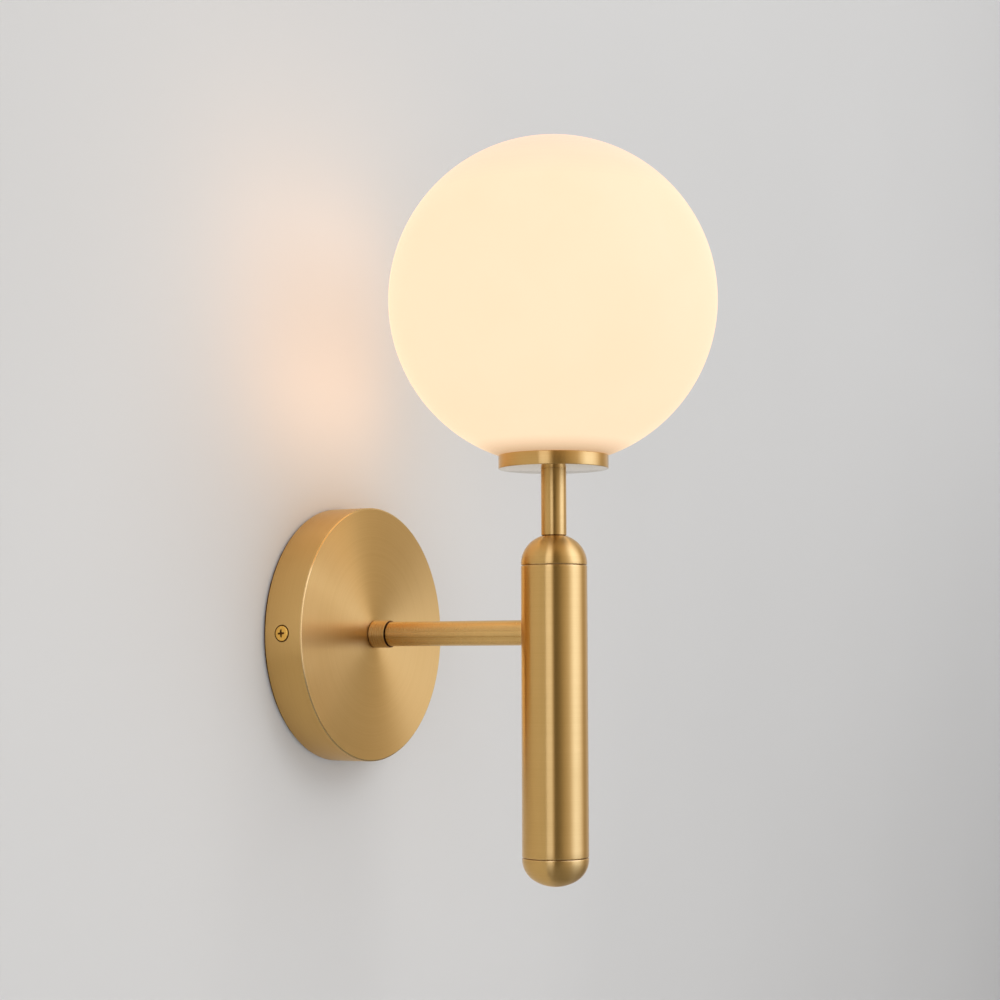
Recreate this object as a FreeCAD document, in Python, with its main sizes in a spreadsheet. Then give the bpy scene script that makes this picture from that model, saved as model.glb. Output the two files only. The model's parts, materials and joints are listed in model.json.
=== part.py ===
import FreeCAD, Part
import math
import os
import re
import Sketcher

# Globe wall sconce, in millimetres. The origin is on the wall plane at the centre of the canopy.
# +Z is up and -Y points out of the wall, along the arm.

doc = FreeCAD.newDocument("GlobeWallSconce")
Vec = FreeCAD.Vector

# Driving dimensions

SIZES = {
    # canopy on the wall
    "canopy_dia": 120.0,
    "canopy_depth": 21.0,
    "canopy_wall": 1.5,
    "canopy_edge": 0.6,
    "rim_screw_out": 10.5,
    "rim_spot_dia": 8.6,
    "rim_spot_depth": 0.6,
    # clearances
    "screw_clear": 0.1,
    "slip_clear": 0.1,
    "spin_clear": 0.15,
    "glass_clear": 0.3,
    "socket_clear": 0.3,
    # wall bracket
    "strap_width": 26.0,
    "strap_sheet": 2.0,
    "strap_tab_width": 14.0,
    "strap_tab_height": 15.0,
    "strap_tab_clear": 0.3,
    "wall_slot_spacing": 70.0,
    "wall_slot_length": 16.0,
    "wall_slot_width": 5.0,
    "cable_hole_dia": 16.0,
    # pan head screws with a cross recess: the rim screws and the earth screw share one size of thread
    "screw_dia": 4.0,
    "screw_length": 9.0,
    "screw_head_dia": 7.6,
    "screw_head_height": 2.0,
    "screw_head_round": 0.7,
    "cross_width": 1.1,
    "cross_span": 4.4,
    "cross_depth": 1.3,
    # protective earth
    "earth_place": 17.5,
    "earth_screw_length": 2.6,
    "lug_dia": 8.0,
    "lug_sheet": 0.8,
    "lug_tail_width": 3.0,
    "lug_tail_reach": 8.0,
    "lug_barrel_dia": 3.0,
    "lug_barrel_length": 3.5,
    # terminal block
    "block_start": 9.5,
    "block_length": 16.0,
    "block_width": 18.0,
    "block_height": 11.0,
    "terminal_pitch": 8.4,
    "terminal_dia": 4.2,
    "terminal_bore": 3.0,
    "terminal_length": 14.0,
    "terminal_rise": 4.5,
    "terminal_screw_dia": 2.6,
    "terminal_screw_spread": 8.0,
    "terminal_screw_sink": 0.8,
    "block_screw_dia": 2.4,
    "block_screw_short": 0.2,
    "block_screw_head_dia": 4.2,
    "block_screw_head_height": 1.6,
    # collar and the swivel behind it
    "collar_dia": 12.9,
    "collar_length": 9.0,
    "collar_edge": 0.35,
    "collar_rings": 5,
    "collar_ring_pitch": 1.3,
    "collar_ring_start": 1.9,
    "collar_ring_depth": 0.25,
    "collar_ring_width": 0.5,
    "spigot_dia": 10.4,
    "spigot_past_nut": 1.0,
    "collar_nut_flats": 15.0,
    "collar_nut_thick": 3.0,
    "swivel_washer_dia": 12.6,
    "swivel_washer_sheet": 0.8,
    "stop_tab_width": 2.0,
    "stop_tab_reach": 12.0,
    "stop_pin_dia": 1.6,
    "stop_pin_place": 11.0,
    "stop_pin_past_tab": 0.6,
    "stop_turn": 190.0,
    "swivel_nut_flats": 13.0,
    "swivel_nut_thick": 3.5,
    # hollow threaded rods
    "nipple_dia": 8.0,
    "nipple_bore": 5.2,
    "nipple_past_nut": 0.8,
    # arm
    "stem_out": 118.0,
    "arm_dia": 11.5,
    "arm_wall": 1.2,
    "arm_seam": 0.3,
    # upright body
    "body_dia": 30.0,
    "body_wall": 1.5,
    "body_above": 30.2,
    "body_below": 100.2,
    "seam_bevel": 0.3,
    "cap_lip": 0.8,
    "cap_spigot_length": 8.0,
    "cap_spigot_wall": 2.4,
    "cap_cavity": 3.0,
    "top_dome_flat": 1.4,
    "bottom_dome_flat": 2.8,
    "dome_blend": 0.4,
    "saddle_dia": 15.0,
    "saddle_thick": 3.2,
    "rod_nut_flats": 12.0,
    "rod_nut_thick": 3.5,
    # neck and cup
    "neck_dia": 11.5,
    "neck_wall": 1.2,
    "neck_length": 30.5,
    "neck_seat_land": 0.2,
    "cup_dia": 50.0,
    "cup_height": 6.1,
    "cup_floor": 1.5,
    "cup_rim": 1.7,
    "cup_edge": 0.3,
    # globe
    "globe_dia": 150.0,
    "glass_wall": 3.0,
    "globe_foot_dia": 49.7,
    "globe_gap": 0.2,
    "globe_neck_wall": 3.0,
    "seal_thick": 0.8,
    "seal_width": 4.5,
    # lampholder and what carries it
    "strip_sheet": 1.0,
    "strip_width": 12.0,
    "strip_span": 22.0,
    "strip_height": 12.0,
    "strip_gap": 8.0,
    "holder_dia": 20.0,
    "holder_height": 16.0,
    "holder_edge": 0.8,
    "holder_screw_dia": 2.6,
    "holder_screw_spread": 13.0,
    "holder_screw_bite": 5.0,
    "holder_screw_head_dia": 4.6,
    "holder_screw_head_height": 1.8,
    "contact_dia": 3.8,
    "contact_length": 6.0,
    "contact_rise": 4.0,
    # two-pin capsule bulb
    "pin_spacing": 9.0,
    "pin_dia": 1.8,
    "pin_length": 9.0,
    "bulb_gap": 0.3,
    "bulb_base_dia": 15.0,
    "bulb_base_height": 9.0,
    "bulb_base_edge": 0.8,
    "capsule_dia": 17.0,
    "capsule_height": 37.0,
    "capsule_wall": 1.0,
    "capsule_sink": 2.5,
    "led_board_width": 7.0,
    "led_board_sheet": 1.0,
    "led_board_height": 28.0,
    # wiring
    "cable_dia": 4.5,
    "cable_past_rod": 1.0,
    "lead_dia": 1.6,
    "lead_offset": 1.0,
    "lead_side": 0.6,
    "lead_dip": 4.4,
    "lead_rise_out": 0.6,
    "lead_rise_up": 0.4,
    "lead_approach": 2.6,
    "lead_straighten": 1.2,
    "lead_bite": 5.4,
    "earth_lead_side": 1.15,
    "earth_lead_dip": 4.6,
    "earth_lead_approach": 2.4,
    "earth_lead_rise": 0.4,
    "earth_lead_bite": 2.6,
    "stem_lead_swing": 6.4,
    "stem_lead_lean": 0.4,
    "stem_lead_turn_up": 9.0,
    "stem_lead_back": 9.0,
    "stem_lead_pinch": 0.1,
    "stem_lead_clear_rod": 0.4,
    "stem_lead_entry": 1.4,
}

# Places worked out from the sizes. "out" is the distance from the wall along the arm, and "up" the height
# over the arm's axis.

PLACES = {
    "canopy_r": "canopy_dia / 2",
    "canopy_inner_r": "canopy_r - canopy_wall",
    "canopy_back_out": "canopy_depth - canopy_wall",
    "strap_end": "sqrt(canopy_inner_r ^ 2 - (strap_width / 2) ^ 2) - strap_tab_clear",
    "tab_face": "sqrt(canopy_inner_r ^ 2 - (strap_tab_width / 2) ^ 2) - strap_tab_clear",
    "screw_r": "screw_dia / 2",
    "nipple_r": "nipple_dia / 2",
    "nipple_hole_r": "nipple_r + slip_clear",
    "spigot_r": "spigot_dia / 2",
    "collar_front_out": "canopy_depth + collar_length",
    "collar_nut_out": "canopy_back_out - collar_nut_thick",
    "spigot_end_out": "collar_nut_out - spigot_past_nut",
    "washer_top_out": "spigot_end_out - spin_clear",
    "washer_low_out": "washer_top_out - swivel_washer_sheet",
    "swivel_nut_out": "washer_low_out - swivel_nut_thick",
    "rod_start_out": "swivel_nut_out - nipple_past_nut",
    "cable_start_out": "rod_start_out - cable_past_rod",
    "stop_pin_low_out": "washer_low_out - stop_pin_past_tab",
    "arm_start_out": "collar_front_out + arm_seam",
    "body_r": "body_dia / 2",
    "body_inner_r": "body_r - body_wall",
    "saddle_top_out": "stem_out - body_inner_r",
    "arm_nut_out": "saddle_top_out + saddle_thick",
    "arm_nut_end_out": "arm_nut_out + rod_nut_thick",
    "rod_end_out": "arm_nut_end_out + nipple_past_nut",
    "cable_end_out": "rod_end_out + cable_past_rod",
    "cap_spigot_r": "body_inner_r - slip_clear",
    "cap_bore_r": "cap_spigot_r - cap_spigot_wall",
    "neck_r": "neck_dia / 2",
    "seat_r": "neck_r + neck_seat_land",
    "blend_norm": "sqrt((1 + dome_blend) ^ 2 + ((1 + 2 * dome_blend) / (2 * dome_blend)) ^ 2)",
    "blend_drop": "(1 + 2 * dome_blend) / (2 * dome_blend)",
    "top_lip_up": "body_above + cap_lip",
    "top_rise": "body_r - top_dome_flat",
    "top_corner": "body_r - (1 + dome_blend) * top_dome_flat",
    "top_crown_r": "top_rise + blend_drop * top_dome_flat",
    "top_crown_up": "top_lip_up - blend_drop * top_dome_flat",
    "top_join_r": "top_crown_r * (1 + dome_blend) / blend_norm",
    "top_join_up": "top_crown_up + top_crown_r * blend_drop / blend_norm",
    "seat_up": "top_crown_up + sqrt(top_crown_r ^ 2 - seat_r ^ 2)",
    "cap_roof_up": "top_lip_up + cap_cavity",
    "bottom_lip_up": "-body_below - cap_lip",
    "bottom_rise": "body_r - bottom_dome_flat",
    "bottom_corner": "body_r - (1 + dome_blend) * bottom_dome_flat",
    "bottom_crown_r": "bottom_rise + blend_drop * bottom_dome_flat",
    "bottom_crown_up": "bottom_lip_up + blend_drop * bottom_dome_flat",
    "bottom_join_r": "bottom_crown_r * (1 + dome_blend) / blend_norm",
    "bottom_join_up": "bottom_crown_up - bottom_crown_r * blend_drop / blend_norm",
    "cup_low_up": "seat_up + neck_length",
    "cup_top_up": "cup_low_up + cup_height",
    "floor_up": "cup_low_up + cup_floor",
    "cup_r": "cup_dia / 2",
    "cup_bore_r": "cup_r - cup_rim",
    "lower_nut_up": "cap_roof_up - rod_nut_thick",
    "neck_rod_low_up": "lower_nut_up - nipple_past_nut",
    "strip_top_up": "floor_up + strip_sheet",
    "upper_nut_top_up": "strip_top_up + rod_nut_thick",
    "neck_rod_high_up": "upper_nut_top_up + nipple_past_nut",
    "holder_seat_up": "floor_up + strip_height",
    "holder_top_up": "holder_seat_up + holder_height",
    "contact_low_up": "holder_seat_up + contact_rise",
    "globe_r": "globe_dia / 2",
    "foot_r": "globe_foot_dia / 2",
    "foot_up": "cup_top_up + globe_gap",
    "globe_up": "foot_up + sqrt(globe_r ^ 2 - foot_r ^ 2)",
    "globe_neck_r": "cup_bore_r - glass_clear",
    "globe_mouth_r": "globe_neck_r - globe_neck_wall",
    "glass_inner_r": "globe_r - glass_wall",
    "seal_top_up": "floor_up + seal_thick",
    "globe_neck_low_up": "seal_top_up + globe_gap",
    "mouth_top_up": "globe_up - sqrt(glass_inner_r ^ 2 - globe_mouth_r ^ 2)",
    "bulb_low_up": "holder_top_up + bulb_gap",
    "capsule_low_up": "bulb_low_up + bulb_base_height - capsule_sink",
    "base_top_up": "bulb_low_up + bulb_base_height",
    "capsule_r": "capsule_dia / 2",
    "capsule_shoulder_up": "base_top_up + capsule_height - capsule_r",
    "capsule_inner_r": "capsule_r - capsule_wall",
    "lead_r": "lead_dia / 2",
    "terminal_out": "strap_sheet + terminal_rise",
    "block_top_out": "strap_sheet + block_height",
    "block_middle": "block_start + block_length / 2",
}

sizes = doc.addObject("Spreadsheet::Sheet", "Sizes")
for row, (alias, number) in enumerate(SIZES.items(), start=1):
    sizes.set(f"A{row}", alias)
    sizes.set(f"B{row}", str(number))
    sizes.setAlias(f"B{row}", alias)
doc.recompute()


def bound(text):
    """Put the sheet's name before each size or place named in an expression."""
    def owned(match):
        word = match.group(0)
        if word in SIZES:
            return "Sizes." + word
        return "Places." + word if word in PLACES else word

    return re.sub(r"[a-z][a-z_0-9]*", owned, text)


places = doc.addObject("Spreadsheet::Sheet", "Places")
for row, (alias, rule) in enumerate(PLACES.items(), start=1):
    places.set(f"A{row}", alias)
    places.set(f"B{row}", "=" + bound(rule))
    places.setAlias(f"B{row}", alias)
doc.recompute()


def value(text):
    """The number that an expression gives now."""
    return float(sizes.evalExpression(bound(text)))


# Ways to make a sub-part. A wall piece is drawn with its own Z pointing out of the wall, a stem piece with
# Z up.

sub_parts = []
OUT_OF_WALL = FreeCAD.Rotation(Vec(1, 0, 0), 90)
# how much of the shorter run a lead's arc takes at each end, and how far a sweep's volume may be off
ARC_SHARE = 0.45
SWEEP_TOLERANCE = 0.02


def new_body(name, frame="stem"):
    body = doc.addObject("PartDesign::Body", name)
    body.Label = name
    if frame == "wall":
        body.Placement = FreeCAD.Placement(Vec(0, 0, 0), OUT_OF_WALL)
    else:
        body.setExpression("Placement.Base.y", bound("-stem_out"))
    sub_parts.append(body)
    return body


def origin_plane(body, role):
    return next(item for item in body.Origin.OriginFeatures if item.Role == role)


def new_sketch(body, role, offset=None):
    """A sketch on one of the body's own origin planes, lifted by an expression where one is given."""
    sketch = body.newObject("Sketcher::SketchObject", body.Label + "_sketch")
    sketch.AttachmentSupport = [(origin_plane(body, role), "")]
    sketch.MapMode = "FlatFace"
    if offset is not None:
        sketch.setExpression("AttachmentOffset.Base.z", bound(offset))
    return sketch


def tie(sketch, kind, geometry, point, text):
    """Hold one coordinate of a point at an expression."""
    index = sketch.addConstraint(Sketcher.Constraint(kind, -1, 1, geometry, point, value(text)))
    name = f"place{index}"
    sketch.renameConstraint(index, name)
    sketch.setExpression("Constraints." + name, bound(text))


def draw_outline(sketch, outline):
    """A closed outline. A step is a corner (x, y), or an arc to the next corner.

    An arc is ("arc", centre x, centre y, held, turn): held says which coordinate of the centre is held, and
    turn is 1 anticlockwise or -1 clockwise.
    """
    corners = []
    arcs = {}
    for step in outline:
        if step[0] == "arc":
            arcs[len(corners) - 1] = step[1:]
        else:
            corners.append(step)
    spots = [Vec(value(x), value(y), 0) for x, y in corners]
    ends = []
    for index, spot in enumerate(spots):
        goal = spots[(index + 1) % len(spots)]
        if index not in arcs:
            edge = sketch.addGeometry(Part.LineSegment(spot, goal), False)
            ends.append((edge, 1, 2))
            continue
        centre_x, centre_y, held, turn = arcs[index]
        centre = Vec(value(centre_x), value(centre_y), 0)
        first, last = (spot, goal) if turn > 0 else (goal, spot)
        begin = math.atan2(first.y - centre.y, first.x - centre.x)
        finish = math.atan2(last.y - centre.y, last.x - centre.x)
        circle = Part.Circle(centre, Vec(0, 0, 1), (first - centre).Length)
        edge = sketch.addGeometry(Part.ArcOfCircle(circle, begin, finish), False)
        ends.append((edge, 1, 2) if turn > 0 else (edge, 2, 1))
        if held == "x":
            tie(sketch, "DistanceX", edge, 3, centre_x)
        else:
            tie(sketch, "DistanceY", edge, 3, centre_y)
    for index, (edge, start, finish) in enumerate(ends):
        following = ends[(index + 1) % len(ends)]
        sketch.addConstraint(Sketcher.Constraint("Coincident", edge, finish, following[0], following[1]))
        tie(sketch, "DistanceX", edge, start, corners[index][0])
        tie(sketch, "DistanceY", edge, start, corners[index][1])


def draw_circle(sketch, x, y, radius):
    edge = sketch.addGeometry(Part.Circle(Vec(value(x), value(y), 0), Vec(0, 0, 1), value(radius)), False)
    tie(sketch, "DistanceX", edge, 3, x)
    tie(sketch, "DistanceY", edge, 3, y)
    index = sketch.addConstraint(Sketcher.Constraint("Radius", edge, value(radius)))
    sketch.renameConstraint(index, f"radius{index}")
    sketch.setExpression(f"Constraints.radius{index}", bound(radius))


def rectangle(x_low, y_low, x_high, y_high):
    return [(x_low, y_low), (x_high, y_low), (x_high, y_high), (x_low, y_high)]


def draw(sketch, outlines, circles):
    for outline in outlines:
        draw_outline(sketch, outline)
    for circle in circles:
        draw_circle(sketch, *circle)


def turned(name, frame, outline):
    """A piece turned on the lathe: its half section, radius across and height up, revolved."""
    body = new_body(name, frame)
    sketch = new_sketch(body, "XZ_Plane")
    draw_outline(sketch, outline)
    feature = body.newObject("PartDesign::Revolution", name + "_turned")
    feature.Profile = (sketch, [""])
    feature.ReferenceAxis = (sketch, ["V_Axis"])
    feature.Angle = 360
    return body


def padded(body, role, start, length, outlines=(), circles=(), both=False):
    """Add a pad of a sketch that starts at an expression over the plane."""
    sketch = new_sketch(body, role, start)
    draw(sketch, outlines, circles)
    feature = body.newObject("PartDesign::Pad", body.Label + "_pad")
    feature.Profile = (sketch, [""])
    feature.Midplane = both
    feature.setExpression("Length", bound(length))
    return body


def pocketed(body, role, outlines=(), circles=(), start=None, length=None, side=0):
    """Cut a sketch out of the body: to a length, through all of it, or through all on one side (1 or -1)."""
    doc.recompute()
    before = body.Shape.Volume
    sketch = new_sketch(body, role, start)
    draw(sketch, outlines, circles)
    feature = body.newObject("PartDesign::Pocket", body.Label + "_pocket")
    feature.Profile = (sketch, [""])
    if length is None:
        feature.Type = "ThroughAll"
        feature.Midplane = side == 0
        feature.Reversed = side < 0
    else:
        feature.setExpression("Length", bound(length))
        feature.Reversed = side < 0
    doc.recompute()
    if body.Shape.Volume >= before:
        raise RuntimeError(body.Label + ": a pocket cuts nothing")
    return feature


def hexagon(flats):
    corner = f"({flats} / sqrt(3))"
    return [(f"{corner} * cos({60 * k})", f"{corner} * sin({60 * k})") for k in range(6)]


def hex_nut(name, frame, start, thick, flats, hole_r):
    body = new_body(name, frame)
    padded(body, "XY_Plane", start, thick, [hexagon(flats)], [("0", "0", hole_r)])
    return body


def tube(name, frame, outer_r, inner_r, low, high):
    return turned(name, frame, rectangle(inner_r, low, outer_r, high))


def cross(sink):
    """The outline of a cross recess."""
    w = "cross_width / 2"
    reach = f"(cross_span * {sink}) / 2"
    quarter = [(reach, "-" + w), (reach, w), (w, w)]
    spots = []
    for _ in range(4):
        spots += quarter
        quarter = [(f"-({y})", x) for x, y in quarter]
    return spots


def cross_screw(name, length, place, turn):
    """A pan head screw. Its own Z points out of the head, and the head's seat is at zero."""
    body = doc.addObject("PartDesign::Body", name)
    body.Label = name
    sub_parts.append(body)
    sketch = new_sketch(body, "XZ_Plane")
    top_r = "screw_head_dia / 2 - screw_head_round"
    draw_outline(sketch, [
        ("0", "-" + length),
        ("screw_r", "-" + length),
        ("screw_r", "0"),
        ("screw_head_dia / 2", "0"),
        ("screw_head_dia / 2", "screw_head_height - screw_head_round"),
        ("arc", top_r, "screw_head_height - screw_head_round", "x", 1),
        (top_r, "screw_head_height"),
        ("0", "screw_head_height"),
    ])
    feature = body.newObject("PartDesign::Revolution", name + "_turned")
    feature.Profile = (sketch, [""])
    feature.ReferenceAxis = (sketch, ["V_Axis"])
    feature.Angle = 360
    pocketed(body, "XY_Plane", [cross("1")], start="screw_head_height", length="cross_depth")
    body.Placement = FreeCAD.Placement(Vec(0, 0, 0), turn)
    for axis, text in zip("xyz", place):
        body.setExpression("Placement.Base." + axis, bound(text))
    return body


def small_screw(name, frame, x, y, seat, dia, bite, head_dia, head_height, up=1):
    """A plain small screw beside the axis: a shank under a flat head that stands on its seat."""
    body = new_body(name, frame)
    shank_start = f"{seat} - {bite}" if up > 0 else seat
    head_start = seat if up > 0 else f"{seat} - {head_height}"
    padded(body, "XY_Plane", shank_start, bite, circles=[(x, y, dia + " / 2")])
    padded(body, "XY_Plane", head_start, head_height, circles=[(x, y, head_dia + " / 2")])
    return body


def lead_path(spots):
    """Straight runs joined by tangent arcs, each as large as its two runs allow."""
    edges = []
    reached = spots[0]
    radii = []
    for before, corner, after in zip(spots, spots[1:], spots[2:]):
        arriving = (corner - before).normalize()
        leaving = (after - corner).normalize()
        half = arriving.getAngle(leaving) / 2
        shorter = min(corner.distanceToPoint(before), corner.distanceToPoint(after))
        reach = ARC_SHARE * shorter
        radii.append(reach / math.tan(half))
        start = corner - arriving * reach
        finish = corner + leaving * reach
        inward = (leaving - arriving).normalize()
        middle = corner + inward * (radii[-1] / math.cos(half) - radii[-1])
        edges.append(Part.LineSegment(reached, start).toShape())
        edges.append(Part.Arc(start, middle, finish).toShape())
        reached = finish
    edges.append(Part.LineSegment(reached, spots[-1]).toShape())
    return Part.Wire(edges), radii


def insulated_lead(name, rows):
    """A lead along corners given as (x, out, up) expressions."""
    spots = [Vec(value(x), -value(out), value(up)) for x, out, up in rows]
    path, radii = lead_path(spots)
    radius = value("lead_r")
    ring = Part.Wire(Part.Circle(spots[0], spots[1] - spots[0], radius).toShape())
    solid = path.makePipeShell([ring], True, False)
    expected = math.pi * radius ** 2 * path.Length
    if abs(solid.Volume - expected) > SWEEP_TOLERANCE * expected:
        raise RuntimeError(name + ": the sweep's volume is wrong")
    print(name, "length", round(path.Length, 1), "radii", [round(r, 1) for r in radii])
    feature = doc.addObject("Part::Feature", name)
    feature.Label = name
    feature.Shape = solid
    sub_parts.append(feature)


# Canopy

canopy = turned("canopy", "wall", [
    ("spigot_r + slip_clear", "canopy_back_out"),
    ("canopy_inner_r", "canopy_back_out"),
    ("canopy_inner_r", "0"),
    ("canopy_r", "0"),
    ("canopy_r", "canopy_depth - canopy_edge"),
    ("canopy_r - canopy_edge", "canopy_depth"),
    ("spigot_r + slip_clear", "canopy_depth"),
])
pocketed(canopy, "YZ_Plane", circles=[("0", "rim_screw_out", "screw_r + screw_clear")])
for side in (1, -1):
    spot_face = f"{side} * (canopy_r - rim_spot_depth)"
    pocketed(canopy, "YZ_Plane", start=spot_face, side=-side, circles=[
        ("0", "rim_screw_out", "rim_spot_dia / 2"),
    ])

for name, side in (("canopy_screw_left", -1), ("canopy_screw_right", 1)):
    seat = (f"{side} * (canopy_r - rim_spot_depth)", "-rim_screw_out", "0")
    cross_screw(name, "screw_length", seat, FreeCAD.Rotation(Vec(0, 1, 0), 90 * side))

# Wall bracket

bracket = new_body("mounting_bracket", "wall")
padded(bracket, "XY_Plane", "0", "strap_sheet", [
    rectangle("-strap_end", "-strap_width / 2", "strap_end", "strap_width / 2"),
])
for side in (1, -1):
    near, far = f"{side} * (tab_face - strap_sheet)", f"{side} * tab_face"
    low, high = (near, far) if side > 0 else (far, near)
    padded(bracket, "XY_Plane", "0", "strap_tab_height", [
        rectangle(low, "-strap_tab_width / 2", high, "strap_tab_width / 2"),
    ])
pocketed(bracket, "YZ_Plane", circles=[("0", "rim_screw_out", "screw_r + slip_clear")])


def slot(middle):
    half = "(wall_slot_length - wall_slot_width) / 2"
    low, high = f"{middle} - {half}", f"{middle} + {half}"
    return [
        (low, "-wall_slot_width / 2"),
        (high, "-wall_slot_width / 2"),
        ("arc", high, "0", "x", 1),
        (high, "wall_slot_width / 2"),
        (low, "wall_slot_width / 2"),
        ("arc", low, "0", "x", 1),
    ]


pocketed(bracket, "XY_Plane", [slot("wall_slot_spacing / 2"), slot("-wall_slot_spacing / 2")], [
    ("0", "0", "cable_hole_dia / 2"),
    ("-earth_place", "0", "screw_r + slip_clear"),
    ("block_middle", "0", "block_screw_dia / 2 + slip_clear"),
])

# Protective earth

earth_seat = ("-earth_place", "-(strap_sheet + lug_sheet)", "0")
cross_screw("earth_screw", "earth_screw_length", earth_seat, OUT_OF_WALL)
lug = new_body("earth_lug", "wall")
padded(lug, "XY_Plane", "strap_sheet", "lug_sheet", circles=[("-earth_place", "0", "lug_dia / 2")])
padded(lug, "XY_Plane", "strap_sheet", "lug_sheet", [
    rectangle("-earth_place", "-lug_tail_width / 2", "-earth_place + lug_tail_reach", "lug_tail_width / 2"),
])
padded(lug, "YZ_Plane", "-earth_place + lug_tail_reach - lug_barrel_length", "lug_barrel_length", circles=[
    ("0", "strap_sheet + lug_barrel_dia / 2", "lug_barrel_dia / 2"),
])
pocketed(lug, "YZ_Plane", start="-earth_place + lug_tail_reach - lug_barrel_length", side=-1, circles=[
    ("0", "strap_sheet + lug_barrel_dia / 2", "lead_r + slip_clear"),
])
pocketed(lug, "XY_Plane", circles=[("-earth_place", "0", "screw_r + slip_clear")])

# Terminal block

block = new_body("terminal_block", "wall")
padded(block, "XY_Plane", "strap_sheet", "block_height", [
    rectangle("block_start", "-block_width / 2", "block_start + block_length", "block_width / 2"),
])
pocketed(block, "YZ_Plane", circles=[
    (f"{side} * terminal_pitch / 2", "terminal_out", "terminal_dia / 2 + slip_clear") for side in (1, -1)
])
screw_spots = [
    (f"block_middle + {across} * terminal_screw_spread / 2", f"{side} * terminal_pitch / 2")
    for side in (1, -1) for across in (1, -1)
]
pocketed(block, "XY_Plane", start="terminal_out", side=-1, circles=[
    (x, y, "terminal_screw_dia / 2 + slip_clear") for x, y in screw_spots
])
pocketed(block, "XY_Plane", circles=[("block_middle", "0", "block_screw_dia / 2 + slip_clear")])
pocketed(block, "XY_Plane", start="block_top_out - block_screw_head_height", side=-1, circles=[
    ("block_middle", "0", "block_screw_head_dia / 2 + slip_clear"),
])

for name, side in (("terminal_tube_upper", 1), ("terminal_tube_lower", -1)):
    row_up = f"{side} * terminal_pitch / 2"
    terminal = new_body(name, "wall")
    padded(terminal, "YZ_Plane", "block_middle - terminal_length / 2", "terminal_length", circles=[
        (row_up, "terminal_out", "terminal_dia / 2"),
        (row_up, "terminal_out", "terminal_bore / 2"),
    ])
    pocketed(terminal, "XY_Plane", start="terminal_out", side=-1, circles=[
        (x, y, "terminal_screw_dia / 2 + slip_clear") for x, y in screw_spots if y == row_up
    ])

for number, (x, y) in enumerate(screw_spots, start=1):
    terminal_screw = new_body(f"terminal_screw_{number}", "wall")
    start = "terminal_out + lead_r + slip_clear"
    padded(terminal_screw, "XY_Plane", start, f"block_top_out - terminal_screw_sink - ({start})", circles=[
        (x, y, "terminal_screw_dia / 2"),
    ])
fixing_seat = "(block_top_out - block_screw_head_height)"
small_screw("terminal_fixing_screw", "wall", "block_middle", "0", fixing_seat, "block_screw_dia",
            f"({fixing_seat} - block_screw_short)", "block_screw_head_dia", "block_screw_head_height")

# Collar and swivel

collar_outline = [
    ("nipple_r + spin_clear", "spigot_end_out"),
    ("spigot_r", "spigot_end_out"),
    ("spigot_r", "canopy_depth"),
    ("collar_dia / 2 - collar_edge", "canopy_depth"),
    ("collar_dia / 2", "canopy_depth + collar_edge"),
]
for ring in range(int(value("collar_rings"))):
    ring_out = f"(canopy_depth + collar_ring_start + {ring} * collar_ring_pitch)"
    collar_outline += [
        ("collar_dia / 2", ring_out + " - collar_ring_width / 2"),
        ("collar_dia / 2 - collar_ring_depth", ring_out),
        ("collar_dia / 2", ring_out + " + collar_ring_width / 2"),
    ]
collar_outline += [
    ("collar_dia / 2", "collar_front_out - collar_edge"),
    ("collar_dia / 2 - collar_edge", "collar_front_out"),
    ("nipple_r + spin_clear", "collar_front_out"),
]
turned("arm_collar", "wall", collar_outline)
hex_nut("collar_nut", "wall", "collar_nut_out", "collar_nut_thick", "collar_nut_flats",
        "spigot_r + slip_clear")

stop_pin = new_body("stop_pin", "wall")
padded(stop_pin, "XY_Plane", "stop_pin_low_out", "canopy_back_out - stop_pin_low_out", circles=[
    ("stop_pin_place * cos(90 + stop_turn)", "stop_pin_place * sin(90 + stop_turn)", "stop_pin_dia / 2"),
])

washer = new_body("swivel_washer", "wall")
padded(washer, "XY_Plane", "washer_low_out", "swivel_washer_sheet", circles=[
    ("0", "0", "swivel_washer_dia / 2"),
])
padded(washer, "XY_Plane", "washer_low_out", "swivel_washer_sheet", [
    rectangle("-stop_tab_width / 2", "0", "stop_tab_width / 2", "stop_tab_reach"),
])
pocketed(washer, "XY_Plane", circles=[("0", "0", "nipple_hole_r")])
hex_nut("swivel_nut", "wall", "swivel_nut_out", "swivel_nut_thick", "swivel_nut_flats", "nipple_hole_r")

# Arm

tube("arm_nipple", "wall", "nipple_r", "nipple_bore / 2", "rod_start_out", "rod_end_out")
arm = tube("arm_tube", "wall", "arm_dia / 2", "arm_dia / 2 - arm_wall", "arm_start_out",
           "stem_out - body_wall")
pocketed(arm, "XZ_Plane", circles=[("0", "stem_out", "body_r")])
cable = new_body("arm_cable", "wall")
padded(cable, "XY_Plane", "cable_start_out", "cable_end_out - cable_start_out", circles=[
    ("0", "0", "cable_dia / 2"),
])

# Upright body

body_tube = turned("body_tube", "stem", [
    ("body_inner_r", "-body_below"),
    ("body_r - seam_bevel", "-body_below"),
    ("body_r", "-body_below + seam_bevel"),
    ("body_r", "body_above - seam_bevel"),
    ("body_r - seam_bevel", "body_above"),
    ("body_inner_r", "body_above"),
])
pocketed(body_tube, "XZ_Plane", circles=[("0", "0", "nipple_hole_r")], side=1)

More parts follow.
